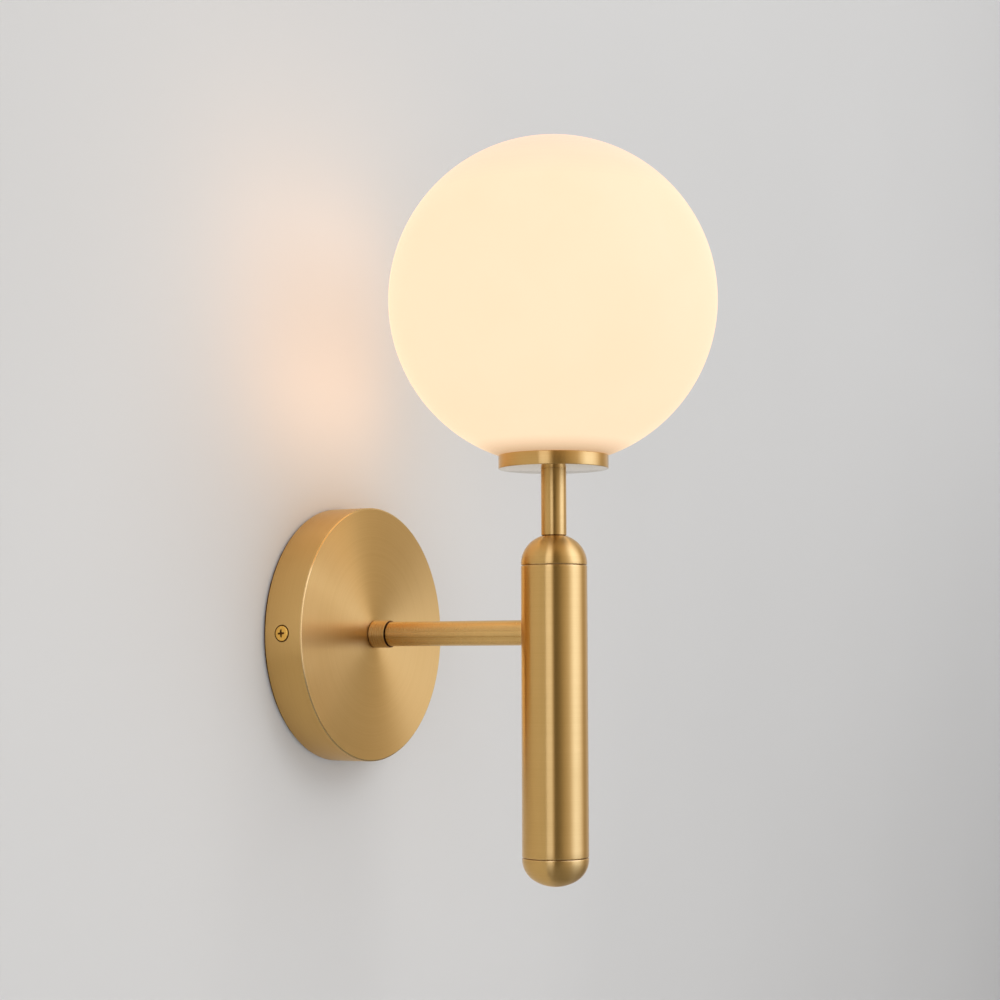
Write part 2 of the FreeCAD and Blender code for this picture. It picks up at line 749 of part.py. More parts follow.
saddle = new_body("arm_saddle", "wall")
padded(saddle, "XY_Plane", "saddle_top_out - body_wall", "saddle_thick + body_wall", circles=[
    ("0", "0", "saddle_dia / 2"),
    ("0", "0", "nipple_hole_r"),
])
pocketed(saddle, "XZ_Plane", [
    rectangle("-body_r", "stem_out - 2 * body_r", "body_r", "stem_out + 2 * body_r"),
], [("0", "stem_out", "body_inner_r")])
hex_nut("arm_nut", "wall", "arm_nut_out", "rod_nut_thick", "rod_nut_flats", "nipple_hole_r")

turned("top_cap", "stem", [
    ("nipple_hole_r", "cap_roof_up"),
    ("cap_bore_r", "cap_roof_up"),
    ("cap_bore_r", "body_above - cap_spigot_length"),
    ("cap_spigot_r", "body_above - cap_spigot_length"),
    ("cap_spigot_r", "body_above"),
    ("body_r - seam_bevel", "body_above"),
    ("body_r", "body_above + seam_bevel"),
    ("body_r", "top_lip_up"),
    ("arc", "body_r - top_corner", "top_lip_up", "x", 1),
    ("top_join_r", "top_join_up"),
    ("arc", "0", "top_crown_up", "x", 1),
    ("seat_r", "seat_up"),
    ("nipple_hole_r", "seat_up"),
])
turned("bottom_cap", "stem", [
    ("0", "-body_below"),
    ("cap_bore_r", "-body_below"),
    ("cap_bore_r", "-body_below + cap_spigot_length"),
    ("cap_spigot_r", "-body_below + cap_spigot_length"),
    ("cap_spigot_r", "-body_below"),
    ("body_r - seam_bevel", "-body_below"),
    ("body_r", "-body_below - seam_bevel"),
    ("body_r", "bottom_lip_up"),
    ("arc", "body_r - bottom_corner", "bottom_lip_up", "x", -1),
    ("bottom_join_r", "bottom_join_up"),
    ("arc", "0", "bottom_crown_up", "x", -1),
    ("0", "bottom_crown_up - bottom_crown_r"),
])

# Neck and cup

tube("neck_tube", "stem", "neck_r", "neck_r - neck_wall", "seat_up", "cup_low_up")
tube("neck_nipple", "stem", "nipple_r", "nipple_bore / 2", "neck_rod_low_up", "neck_rod_high_up")
hex_nut("neck_nut_lower", "stem", "lower_nut_up", "rod_nut_thick", "rod_nut_flats", "nipple_hole_r")
hex_nut("neck_nut_upper", "stem", "strip_top_up", "rod_nut_thick", "rod_nut_flats", "nipple_hole_r")
turned("gallery_cup", "stem", [
    ("nipple_hole_r", "cup_low_up"),
    ("cup_r - cup_edge", "cup_low_up"),
    ("cup_r", "cup_low_up + cup_edge"),
    ("cup_r", "cup_top_up - cup_edge"),
    ("cup_r - cup_edge", "cup_top_up"),
    ("cup_bore_r", "cup_top_up"),
    ("cup_bore_r", "floor_up"),
    ("nipple_hole_r", "floor_up"),
])

# Globe and its seal

tube("globe_seal", "stem", "globe_neck_r", "globe_neck_r - seal_width", "floor_up", "seal_top_up")
turned("globe_glass", "stem", [
    ("globe_mouth_r", "globe_neck_low_up"),
    ("globe_neck_r", "globe_neck_low_up"),
    ("globe_neck_r", "foot_up"),
    ("foot_r", "foot_up"),
    ("arc", "0", "globe_up", "x", 1),
    ("0", "globe_up + globe_r"),
    ("0", "globe_up + glass_inner_r"),
    ("arc", "0", "globe_up", "x", -1),
    ("globe_mouth_r", "mouth_top_up"),
])

# Lampholder

strip = new_body("holder_bracket", "stem")
half_span, half_gap = "strip_span / 2", "strip_gap / 2"
lug_low = "holder_seat_up - strip_sheet"
padded(strip, "XZ_Plane", "0", "strip_width", [[
    ("-" + half_span, "floor_up"),
    (half_span, "floor_up"),
    (half_span, "holder_seat_up"),
    (half_gap, "holder_seat_up"),
    (half_gap, lug_low),
    (half_span + " - strip_sheet", lug_low),
    (half_span + " - strip_sheet", "strip_top_up"),
    ("-" + half_span + " + strip_sheet", "strip_top_up"),
    ("-" + half_span + " + strip_sheet", lug_low),
    ("-" + half_gap, lug_low),
    ("-" + half_gap, "holder_seat_up"),
    ("-" + half_span, "holder_seat_up"),
]], both=True)
pocketed(strip, "XY_Plane", circles=[("0", "0", "nipple_hole_r")])
pocketed(strip, "XY_Plane", start=lug_low, side=-1, circles=[
    (f"{side} * holder_screw_spread / 2", "0", "holder_screw_dia / 2 + slip_clear") for side in (1, -1)
])

holder = turned("lampholder", "stem", [
    ("0", "holder_seat_up"),
    ("holder_dia / 2", "holder_seat_up"),
    ("holder_dia / 2", "holder_top_up - holder_edge"),
    ("holder_dia / 2 - holder_edge", "holder_top_up"),
    ("0", "holder_top_up"),
])
pocketed(holder, "XY_Plane", circles=[
    ("0", f"{side} * pin_spacing / 2", "pin_dia / 2 + socket_clear") for side in (1, -1)
])
pocketed(holder, "XY_Plane", start="contact_low_up + contact_length", side=1, circles=[
    ("0", f"{side} * pin_spacing / 2", "contact_dia / 2 + slip_clear") for side in (1, -1)
])
pocketed(holder, "XY_Plane", start="holder_seat_up + holder_screw_bite", side=1, circles=[
    (f"{side} * holder_screw_spread / 2", "0", "holder_screw_dia / 2 + slip_clear") for side in (1, -1)
])
for name, side in (("holder_contact_front", -1), ("holder_contact_rear", 1)):
    contact = new_body(name, "stem")
    beside = f"{side} * pin_spacing / 2"
    padded(contact, "XY_Plane", "contact_low_up", "contact_length", circles=[
        ("0", beside, "contact_dia / 2"),
        ("0", beside, "pin_dia / 2 + spin_clear"),
    ])
for name, side in (("holder_screw_left", -1), ("holder_screw_right", 1)):
    small_screw(name, "stem", f"{side} * holder_screw_spread / 2", "0", f"({lug_low})", "holder_screw_dia",
                "(strip_sheet + holder_screw_bite - slip_clear)", "holder_screw_head_dia",
                "holder_screw_head_height", up=-1)

# Bulb

base = turned("bulb_base", "stem", [
    ("0", "bulb_low_up"),
    ("bulb_base_dia / 2", "bulb_low_up"),
    ("bulb_base_dia / 2", "base_top_up - bulb_base_edge"),
    ("bulb_base_dia / 2 - bulb_base_edge", "base_top_up"),
    ("0", "base_top_up"),
])
pocketed(base, "XY_Plane", start="base_top_up - capsule_sink", side=-1, circles=[
    ("0", "0", "bulb_base_dia / 2 - 2 * bulb_base_edge"),
])
sleeve_r = "bulb_base_dia / 2 - 2 * bulb_base_edge - slip_clear"
turned("bulb_capsule", "stem", [
    (f"{sleeve_r} - capsule_wall", "capsule_low_up"),
    (sleeve_r, "capsule_low_up"),
    (sleeve_r, "base_top_up"),
    ("capsule_r", "base_top_up"),
    ("capsule_r", "capsule_shoulder_up"),
    ("arc", "0", "capsule_shoulder_up", "x", 1),
    ("0", "capsule_shoulder_up + capsule_r"),
    ("0", "capsule_shoulder_up + capsule_inner_r"),
    ("arc", "0", "capsule_shoulder_up", "x", -1),
    ("capsule_inner_r", "capsule_shoulder_up"),
    ("capsule_inner_r", "base_top_up + capsule_wall"),
    (f"{sleeve_r} - capsule_wall", "base_top_up + capsule_wall"),
])
board = new_body("led_board", "stem")
padded(board, "XY_Plane", "capsule_low_up", "led_board_height", [
    rectangle("-led_board_width / 2", "-led_board_sheet / 2", "led_board_width / 2", "led_board_sheet / 2"),
])
for name, side in (("bulb_pin_front", -1), ("bulb_pin_rear", 1)):
    pin = new_body(name, "stem")
    padded(pin, "XY_Plane", "bulb_low_up - pin_length", "pin_length", circles=[
        ("0", f"{side} * pin_spacing / 2", "pin_dia / 2"),
    ])

# Wiring inside: three leads from the cable to the wall side, two from its other end up to the lampholder

for name, side in (("live_lead", "1"), ("neutral_lead", "-1")):
    insulated_lead(name, [
        ("lead_side", "cable_start_out", f"{side} * lead_offset"),
        ("lead_side", "cable_start_out - lead_dip", f"{side} * lead_offset"),
        ("block_start - lead_approach", "terminal_out - lead_rise_out",
         f"{side} * (terminal_pitch / 2 - lead_rise_up)"),
        ("block_start + lead_straighten", "terminal_out", f"{side} * terminal_pitch / 2"),
        ("block_start + lead_bite", "terminal_out", f"{side} * terminal_pitch / 2"),
    ])
barrel_end, barrel_out = "-earth_place + lug_tail_reach", "strap_sheet + lug_barrel_dia / 2"
insulated_lead("earth_lead", [
    ("-earth_lead_side", "cable_start_out", "0"),
    ("-earth_lead_side", "cable_start_out - earth_lead_dip", "0"),
    (barrel_end + " + earth_lead_approach", barrel_out + " + earth_lead_rise", "lead_rise_up"),
    (barrel_end + " - lead_rise_up", barrel_out, "0"),
    (barrel_end + " - earth_lead_bite", barrel_out, "0"),
])
for name, side in (("stem_lead_live", "1"), ("stem_lead_neutral", "-1")):
    beside = f"{side} * lead_offset"
    over_pin = f"stem_out + {side} * pin_spacing / 2"
    pinched = f"stem_out + {side} * (lead_offset - stem_lead_pinch)"
    insulated_lead(name, [
        ("0", "cable_end_out", "-" + beside),
        ("0", "stem_out + stem_lead_swing + " + beside, "-" + beside),
        ("0", f"stem_out + stem_lead_swing - stem_lead_lean + {beside}", "stem_lead_turn_up + " + beside),
        ("0", "stem_out + " + beside, "cap_roof_up - stem_lead_back + " + beside),
        ("0", pinched, "neck_rod_high_up + stem_lead_clear_rod"),
        ("0", over_pin, "holder_seat_up - stem_lead_entry"),
        ("0", over_pin, "contact_low_up"),
    ])

# Check every object, then write each sub-part

doc.recompute()
for item in doc.Objects:
    if "Invalid" in item.State or "Error" in item.State:
        raise RuntimeError(f"{item.Name} failed: {item.State}")
os.makedirs("parts", exist_ok=True)
for piece in sub_parts:
    if piece.Shape.isNull() or not piece.Shape.isValid():
        raise RuntimeError(piece.Label + " has no valid shape")
for piece in sub_parts:
    piece.Shape.exportStep(f"parts/{piece.Label}.step")
lowest = value("bottom_crown_up - bottom_crown_r")
print(len(sub_parts), "sub-parts; cup", round(value("cup_low_up"), 2), round(value("cup_top_up"), 2),
      "globe centre", round(value("globe_up"), 2), "lowest", round(lowest, 2))
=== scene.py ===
import json
import math
import bmesh
import bpy
from mathutils import Matrix, Vector

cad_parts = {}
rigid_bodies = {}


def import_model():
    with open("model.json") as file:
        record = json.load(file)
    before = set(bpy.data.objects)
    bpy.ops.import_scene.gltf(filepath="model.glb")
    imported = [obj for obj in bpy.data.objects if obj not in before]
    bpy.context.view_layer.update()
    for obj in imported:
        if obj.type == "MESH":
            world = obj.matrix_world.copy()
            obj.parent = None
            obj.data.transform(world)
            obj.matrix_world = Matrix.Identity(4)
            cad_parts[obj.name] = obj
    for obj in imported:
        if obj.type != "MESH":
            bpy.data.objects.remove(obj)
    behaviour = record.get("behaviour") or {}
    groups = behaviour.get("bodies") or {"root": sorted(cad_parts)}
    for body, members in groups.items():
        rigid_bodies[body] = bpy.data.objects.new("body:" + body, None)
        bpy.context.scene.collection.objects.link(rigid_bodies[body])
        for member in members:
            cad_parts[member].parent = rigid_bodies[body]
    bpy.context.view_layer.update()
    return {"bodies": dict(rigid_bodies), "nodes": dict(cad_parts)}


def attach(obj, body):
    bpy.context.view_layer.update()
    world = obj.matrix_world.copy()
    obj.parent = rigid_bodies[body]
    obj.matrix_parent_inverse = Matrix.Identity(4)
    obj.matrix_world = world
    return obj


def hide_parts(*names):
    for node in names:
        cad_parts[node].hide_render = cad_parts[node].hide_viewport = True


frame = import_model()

scene = bpy.context.scene
mm = 0.001
stemOut = 118.0      # from the wall to the stem's axis
margin = 0.05        # a face this close to a plane counts as part of it
onStem = Matrix.Translation((0, -stemOut * mm, 0))
outOfWall = Matrix.Rotation(math.radians(90), 4, "X")
print("frame loaded:", len(frame["nodes"]), "nodes")


# small helpers for node trees

def addNode(tree, kind, **settings):
    node = tree.nodes.new(kind)
    for name, setting in settings.items():
        setattr(node, name, setting)
    return node


def feed(tree, source, target):
    # a source is a socket or a plain number or colour
    if isinstance(source, bpy.types.NodeSocket):
        tree.links.new(source, target)
    else:
        target.default_value = source


def mathNode(tree, operation, first, second=None, third=None, clamp=False):
    node = addNode(tree, "ShaderNodeMath", operation=operation, use_clamp=clamp)
    for socket, source in zip(node.inputs, (first, second, third)):
        if source is not None:
            feed(tree, source, socket)
    return node.outputs[0]


def linkAll(tree, pairs):
    for source, target in pairs:
        tree.links.new(source, target)


def rangeNode(tree, source, low, high, newLow, newHigh):
    node = addNode(tree, "ShaderNodeMapRange")
    for name, number in (("From Min", low), ("From Max", high), ("To Min", newLow), ("To Max", newHigh)):
        node.inputs[name].default_value = number
    feed(tree, source, node.inputs["Value"])
    return node.outputs["Result"]


def rampNode(tree, source, stops, interpolation="EASE"):
    node = addNode(tree, "ShaderNodeValToRGB")
    ramp = node.color_ramp
    ramp.interpolation = interpolation
    while len(ramp.elements) < len(stops):
        ramp.elements.new(0.5)
    for element, (place, colour) in zip(ramp.elements, stops):
        element.position = place
        element.color = (*colour, 1)
    feed(tree, source, node.inputs["Fac"])
    return node.outputs["Color"]


def noiseNode(tree, vector, scale, detail=3.0, roughness=0.55):
    node = addNode(tree, "ShaderNodeTexNoise")
    feed(tree, vector, node.inputs["Vector"])
    node.inputs["Scale"].default_value = scale
    node.inputs["Detail"].default_value = detail
    node.inputs["Roughness"].default_value = roughness
    return node.outputs["Fac"]


def blended(tree, first, second, share):
    # a share of the first pattern and the rest of the second
    return mathNode(tree, "ADD", mathNode(tree, "MULTIPLY", first, share),
                    mathNode(tree, "MULTIPLY", second, 1 - share))


def newMaterial(name, **plain):
    material = bpy.data.materials.new(name)
    material.use_nodes = True
    tree = material.node_tree
    shader = tree.nodes["Principled BSDF"]
    for socket, number in plain.items():
        shader.inputs[socket.replace("_", " ")].default_value = number
    place = addNode(tree, "ShaderNodeTexCoord").outputs["Object"]
    return material, tree, shader, place


def bumpInto(tree, shader, height, strength, distance):
    bump = addNode(tree, "ShaderNodeBump")
    bump.inputs["Strength"].default_value = strength
    bump.inputs["Distance"].default_value = distance * mm
    feed(tree, height, bump.inputs["Height"])
    feed(tree, bump.outputs["Normal"], shader.inputs["Normal"])


# brass with fine brushing that runs round the axis of the piece

brassLook = {
    "light": (0.745, 0.463, 0.158),
    "dark": (0.722, 0.443, 0.145),
    "roughness": (0.27, 0.33),
    "grain": 2400.0,             # brushing lines per metre, before the finer octaves
    "drift": 14.0,               # how fast a line changes along its length
    "clouds": 38.0,              # slow change of tone
    "brushShare": 0.72,          # of the tone, the rest comes from the clouds
    "toneStops": (0.34, 0.62),   # where the tone is all dark and all light
    "anisotropy": 1.0,
    "turn": 0.25,                # the sheen spreads across the brushing lines
    "depth": 0.0007,             # of the brushing, in millimetres
    "lengthwise": 0.0,           # share of streaks that run along the piece
    "streaks": (1.0, 800.0),     # how often they change per metre, along and across
}


def brushedBrass(name, axis, middle, look):
    material, tree, shader, place = newMaterial(
        name, Metallic=1.0, Anisotropic=look["anisotropy"], Anisotropic_Rotation=look["turn"])
    centred = addNode(tree, "ShaderNodeMapping", vector_type="POINT")
    centred.inputs["Location"].default_value = [-c * mm for c in middle]
    feed(tree, place, centred.inputs["Vector"])
    parts = addNode(tree, "ShaderNodeSeparateXYZ")
    feed(tree, centred.outputs[0], parts.inputs[0])
    along = parts.outputs[axis]
    across = [parts.outputs[c] for c in "XYZ" if c != axis]
    squares = [mathNode(tree, "MULTIPLY", c, c) for c in across]
    radius = mathNode(tree, "SQRT", mathNode(tree, "ADD", *squares))
    lines = addNode(tree, "ShaderNodeCombineXYZ")
    feed(tree, mathNode(tree, "MULTIPLY", radius, look["grain"]), lines.inputs["X"])
    feed(tree, mathNode(tree, "MULTIPLY", along, look["grain"]), lines.inputs["Y"])
    slow = addNode(tree, "ShaderNodeVectorMath", operation="MULTIPLY_ADD")
    feed(tree, centred.outputs[0], slow.inputs[0])
    slow.inputs[1].default_value = [look["drift"]] * 3
    feed(tree, lines.outputs[0], slow.inputs[2])
    brushing = noiseNode(tree, slow.outputs[0], 1.0, 4.0, 0.62)
    clouds = noiseNode(tree, place, look["clouds"], 2.0)
    tone = blended(tree, brushing, clouds, look["brushShare"])
    if look["lengthwise"]:
        stretch = addNode(tree, "ShaderNodeVectorMath", operation="MULTIPLY")
        feed(tree, centred.outputs[0], stretch.inputs[0])
        lengthwise, crosswise = look["streaks"]
        stretch.inputs[1].default_value = [lengthwise if c == axis else crosswise for c in "XYZ"]
        streaks = noiseNode(tree, stretch.outputs[0], 1.0, 2.0)
        tone = blended(tree, streaks, tone, look["lengthwise"])
    colours = list(zip(look["toneStops"], (look["dark"], look["light"])))
    feed(tree, rampNode(tree, tone, colours), shader.inputs["Base Color"])
    smooth, rough = look["roughness"]
    feed(tree, rangeNode(tree, tone, 0.3, 0.7, rough, smooth), shader.inputs["Roughness"])
    bumpInto(tree, shader, brushing, 0.5, look["depth"])
    tangent = addNode(tree, "ShaderNodeTangent", direction_type="RADIAL", axis=axis)
    feed(tree, tangent.outputs[0], shader.inputs["Tangent"])
    return material


# partly painted highlight: edges and lips are polished smoother with no anisotropic sheen, and their lighter
# colour is a painted highlight for the bright lines they catch
litEdgeLook = dict(brassLook, light=(0.80, 0.55, 0.24), dark=(0.74, 0.48, 0.19), roughness=(0.16, 0.22),
                anisotropy=0.0)
# painted reflection: a pale greyish brass for the cup's underside, standing in for the pale wall that it
# mirrors
underReflectionLook = dict(litEdgeLook, light=(0.80, 0.69, 0.53), dark=(0.74, 0.63, 0.47), roughness=(0.12, 0.18))
# partly painted highlight: the screw heads are a polished brass whose lighter colour also stands in for the
# highlights on their rounded heads
screwHighlightLook = dict(litEdgeLook, light=(0.98, 0.58, 0.13), dark=(0.90, 0.48, 0.09), roughness=(0.18, 0.26))
# painted shade: a dark brown brass for the slots, grooves, steps and gaps, standing in for the shade that
# falls in them
shadedRecessLook = dict(litEdgeLook, light=(0.20, 0.08, 0.02), dark=(0.09, 0.032, 0.008), roughness=(0.42, 0.58))
armLook = dict(brassLook, light=(0.85, 0.54, 0.195), dark=(0.72, 0.44, 0.145), roughness=(0.2, 0.32),
               lengthwise=0.5)
wallLook = dict(brassLook, roughness=(0.33, 0.39), anisotropy=0.92)
stemBrass = brushedBrass("satinBrassStem", "Z", (0, -stemOut, 0), brassLook)
wallBrass = brushedBrass("satinBrassWall", "Y", (0, 0, 0), wallLook)
armBrass = brushedBrass("satinBrassArm", "Y", (0, 0, 0), armLook)
screwHighlightBrass = brushedBrass("screwHighlightBrass", "Y", (0, 0, 0), screwHighlightLook)
shadedRecessWall = brushedBrass("paintedShadeRecessWall", "Y", (0, 0, 0), shadedRecessLook)
shadedRecessStem = brushedBrass("paintedShadeRecessStem", "Z", (0, -stemOut, 0), shadedRecessLook)
litEdgeBrass = brushedBrass("polishedEdgeHighlightWall", "Y", (0, 0, 0), litEdgeLook)
litLipBrass = brushedBrass("polishedEdgeHighlightStem", "Z", (0, -stemOut, 0), litEdgeLook)
underReflectionBrass = brushedBrass("cupUndersidePaintedReflection", "Z", (0, -stemOut, 0), underReflectionLook)


# the other finishes

def speckled(name, base, dark, roughness, scale, bump, metallic=0.0, **plain):
    material, tree, shader, place = newMaterial(name, Metallic=metallic, **plain)
    fine = noiseNode(tree, place, scale, 4.0)
    broad = noiseNode(tree, place, scale / 12, 2.0)
    mixed = blended(tree, fine, broad, 0.5)
    feed(tree, rampNode(tree, mixed, [(0.35, dark), (0.6, base)]), shader.inputs["Base Color"])
    feed(tree, rangeNode(tree, mixed, 0.3, 0.7, roughness[1], roughness[0]), shader.inputs["Roughness"])
    bumpInto(tree, shader, fine, 0.4, bump)
    return material


zinc = speckled("zincPlatedSteel", (0.66, 0.66, 0.64), (0.57, 0.58, 0.585), (0.28, 0.40), 700, 0.008, 1.0)
brightMetal = speckled("tinnedContact", (0.78, 0.68, 0.44), (0.62, 0.50, 0.30), (0.18, 0.3), 900, 0.006, 1.0)
nylon = speckled("nylonBlock", (0.84, 0.82, 0.75), (0.78, 0.75, 0.68), (0.42, 0.55), 900, 0.02)
ceramic = speckled("glazedSteatite", (0.86, 0.84, 0.78), (0.825, 0.80, 0.735), (0.14, 0.26), 500, 0.012)
rubber = speckled("siliconeRing", (0.82, 0.82, 0.80), (0.74, 0.74, 0.72), (0.5, 0.68), 1200, 0.02)
sheath = speckled("cableSheath", (0.70, 0.69, 0.65), (0.60, 0.59, 0.55), (0.4, 0.55), 900, 0.02)
liveSkin = speckled("leadLive", (0.28, 0.13, 0.06), (0.20, 0.09, 0.04), (0.35, 0.5), 900, 0.01)
neutralSkin = speckled("leadNeutral", (0.05, 0.16, 0.45), (0.03, 0.11, 0.34), (0.35, 0.5), 900, 0.01)
boardSkin = speckled("ledBoard", (0.86, 0.84, 0.72), (0.78, 0.75, 0.60), (0.4, 0.55), 1500, 0.01)
milkShell = speckled("milkyShell", (0.26, 0.24, 0.21), (0.22, 0.20, 0.17), (0.22, 0.34), 400, 0.01,
                     Emission_Color=(1.0, 0.78, 0.50, 1), Emission_Strength=0.85)

earthLook = {
    "green": (0.10, 0.36, 0.07), "yellow": (0.80, 0.66, 0.06), "edge": (0.45, 0.55),
    "stripes": 25.0, "waver": 0.6,       # scale and distortion of the wave
}


def earthSkinMaterial(look):
    material, tree, shader, place = newMaterial("leadEarth", Roughness=0.42)
    wave = addNode(tree, "ShaderNodeTexWave", wave_type="BANDS", bands_direction="DIAGONAL")
    feed(tree, place, wave.inputs["Vector"])
    wave.inputs["Scale"].default_value = look["stripes"]
    wave.inputs["Distortion"].default_value = look["waver"]
    stops = list(zip(look["edge"], (look["green"], look["yellow"])))
    feed(tree, rampNode(tree, wave.outputs["Fac"], stops, "LINEAR"), shader.inputs["Base Color"])
    bumpInto(tree, shader, noiseNode(tree, place, 900), 0.3, 0.01)
    return material


earthSkin = earthSkinMaterial(earthLook)

opalLook = {
    "base": (0.150, 0.128, 0.120),
    "deep": (0.132, 0.112, 0.102),
    "glow": (1.0, 0.745, 0.485),
    "strength": 0.98,
    "shine": 0.06,
    # painted shade: the glass just above the cup glows less as a painted shade by the cup's rim, and the
    # crown glows less as a painted darker top:
    # number of bands, the smallest share of the light, how fast it falls and how much green is left at the
    # crown
    "footBands": 14, "footShare": 0.60, "footFall": 1.4, "warmer": 0.35,
    "topBands": 12, "topShare": 0.955, "topGreen": 0.91,
}


def opalMaterial(look, name="opalGlass", share=1.0, green=1.0):
    # painted shade: a dimmer band is also a little warmer
    glow = [part * (1 - index * (1 - share) * look["warmer"]) for index, part in enumerate(look["glow"])]
    glow[1] *= green
    material, tree, shader, place = newMaterial(
        name, Emission_Color=(*glow, 1), Emission_Strength=look["strength"] * share, IOR=1.5,
        Specular_IOR_Level=look["shine"])
    cloud = noiseNode(tree, place, 18, 3.0)
    fine = noiseNode(tree, place, 900, 3.0)
    tone = rampNode(tree, cloud, [(0.35, look["deep"]), (0.65, look["base"])])
    feed(tree, tone, shader.inputs["Base Color"])
    feed(tree, rangeNode(tree, fine, 0.3, 0.7, 0.34, 0.46), shader.inputs["Roughness"])
    bumpInto(tree, shader, fine, 0.3, 0.01)
    return material


opal = opalMaterial(opalLook)
opalFootShade, opalCrownShade = [], []
for band in range(opalLook["footBands"]):
    part = 1 - (band + 0.5) / opalLook["footBands"]
    share = 1 - (1 - opalLook["footShare"]) * part ** opalLook["footFall"]
    opalFootShade.append(opalMaterial(opalLook, f"opalGlassFootShade{band + 1}", share))
for band in range(opalLook["topBands"]):
    part = (band + 1) / opalLook["topBands"]
    share, green = 1 - (1 - opalLook["topShare"]) * part, 1 - (1 - opalLook["topGreen"]) * part
    opalCrownShade.append(opalMaterial(opalLook, f"opalGlassCrownShade{band + 1}", share, green))
print("materials made:", len(bpy.data.materials))


# turned pieces: a profile goes round a guide circle

def turnTree():
    tree = bpy.data.node_groups.new("turnProfile", "GeometryNodeTree")
    face = tree.interface
    face.new_socket(name="Profile", in_out="INPUT", socket_type="NodeSocketGeometry")
    face.new_socket(name="Segments", in_out="INPUT", socket_type="NodeSocketInt").default_value = 96
    guide = face.new_socket(name="Guide Radius", in_out="INPUT", socket_type="NodeSocketFloat")
    guide.default_value = 10 * mm
    face.new_socket(name="Finish", in_out="INPUT", socket_type="NodeSocketMaterial")
    face.new_socket(name="Turned", in_out="OUTPUT", socket_type="NodeSocketGeometry")
    given = tree.nodes.new("NodeGroupInput").outputs
    line = addNode(tree, "GeometryNodeMeshToCurve")
    circle = addNode(tree, "GeometryNodeCurvePrimitiveCircle")
    upright = addNode(tree, "GeometryNodeSetCurveNormal", mode="Z_UP")
    swept = addNode(tree, "GeometryNodeCurveToMesh")
    merged = addNode(tree, "GeometryNodeMergeByDistance")
    merged.inputs["Distance"].default_value = 0.0005 * mm
    real = addNode(tree, "GeometryNodeRealizeInstances")
    finish = addNode(tree, "GeometryNodeSetMaterial")
    result = tree.nodes.new("NodeGroupOutput").inputs
    linkAll(tree, [
        (given["Profile"], line.inputs["Mesh"]),
        (given["Segments"], circle.inputs["Resolution"]),
        (given["Guide Radius"], circle.inputs["Radius"]),
        (circle.outputs["Curve"], upright.inputs["Curve"]),
        (upright.outputs["Curve"], swept.inputs["Curve"]),
        (line.outputs["Curve"], swept.inputs["Profile Curve"]),
        (swept.outputs["Mesh"], merged.inputs["Geometry"]),
        (merged.outputs["Geometry"], real.inputs["Geometry"]),
        (real.outputs["Geometry"], finish.inputs["Geometry"]),
        (given["Finish"], finish.inputs["Material"]),
        (finish.outputs["Geometry"], result["Turned"]),
    ])
    return tree


turning = turnTree()


def socketIds(tree):
    return {item.name: item.identifier for item in tree.interface.items_tree if item.in_out == "INPUT"}


def addObject(name, data):
    thing = bpy.data.objects.new(name, data)
    scene.collection.objects.link(thing)
    return thing


def plainResult(holder):
    # the modifier's result as a plain mesh, with the holder gone
    graph = bpy.context.evaluated_depsgraph_get()
    mesh = bpy.data.meshes.new_from_object(holder.evaluated_get(graph))
    bpy.data.objects.remove(holder)
    return mesh


def rounded(corners, closed=True, steps=4):
    # corners are (radius, height) or (radius, height, rounding)
    line = []
    count = len(corners)
    for index, corner in enumerate(corners):
        spot = Vector(corner[:2])
        rounding = corner[2] if len(corner) > 2 else 0
        atEnd = not closed and index in (0, count - 1)
        if not rounding or atEnd:
            line.append(spot)
            continue
        before = (Vector(corners[index - 1][:2]) - spot).normalized()
        after = (Vector(corners[(index + 1) % count][:2]) - spot).normalized()
        half = before.angle(after) / 2
        reach = rounding / math.tan(half)
        middle = spot + (before + after).normalized() * (rounding / math.sin(half))
        start = spot + before * reach - middle
        finish = spot + after * reach - middle
        sweep = start.angle_signed(finish)
        for step in range(steps + 1):
            line.append(middle + Matrix.Rotation(-sweep * step / steps, 2) @ start)
    return line


def arc(middleRadius, middleHeight, size, fromAngle, toAngle, steps):
    # angles in degrees from the +radius direction, counted upwards
    line = []
    for step in range(steps + 1):
        angle = math.radians(fromAngle + (toAngle - fromAngle) * step / steps)
        line.append(Vector((middleRadius + size * math.cos(angle), middleHeight + size * math.sin(angle))))
    return line


def turnedMesh(name, line, material, segments, closed=True, guide=10.0):
    mesh = bpy.data.meshes.new(name + "Profile")
    edges = [(i, i + 1) for i in range(len(line) - 1)] + ([(len(line) - 1, 0)] if closed else [])
    mesh.from_pydata([((p[0] - guide) * mm, -p[1] * mm, 0) for p in line], edges, [])
    holder = addObject(name + "Holder", mesh)
    turn = holder.modifiers.new("turn", "NODES")
    ids = socketIds(turning)
    turn.node_group = turning
    turn[ids["Segments"]] = segments
    turn[ids["Guide Radius"]] = guide * mm
    turn[ids["Finish"]] = material
    return plainResult(holder)


def tidyMesh(mesh, place=None, sharp=32.0, flip=True):
    bm = bmesh.new()
    bm.from_mesh(mesh)
    bmesh.ops.remove_doubles(bm, verts=bm.verts, dist=0.0005 * mm)
    bmesh.ops.dissolve_degenerate(bm, edges=bm.edges, dist=0.0002 * mm)
    if place is not None:
        bmesh.ops.transform(bm, matrix=place, verts=bm.verts)
    if flip:
        bmesh.ops.recalc_face_normals(bm, faces=bm.faces)
    bm.to_mesh(mesh)
    bm.free()
    mesh.shade_smooth()
    mesh.set_sharp_from_angle(angle=math.radians(sharp))


def addPiece(name, mesh, body, nodes, material=None):
    piece = addObject(name, mesh)
    mesh.name = name
    if material is not None:
        mesh.materials.clear()
        mesh.materials.append(material)
    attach(piece, body)
    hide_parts(*nodes)


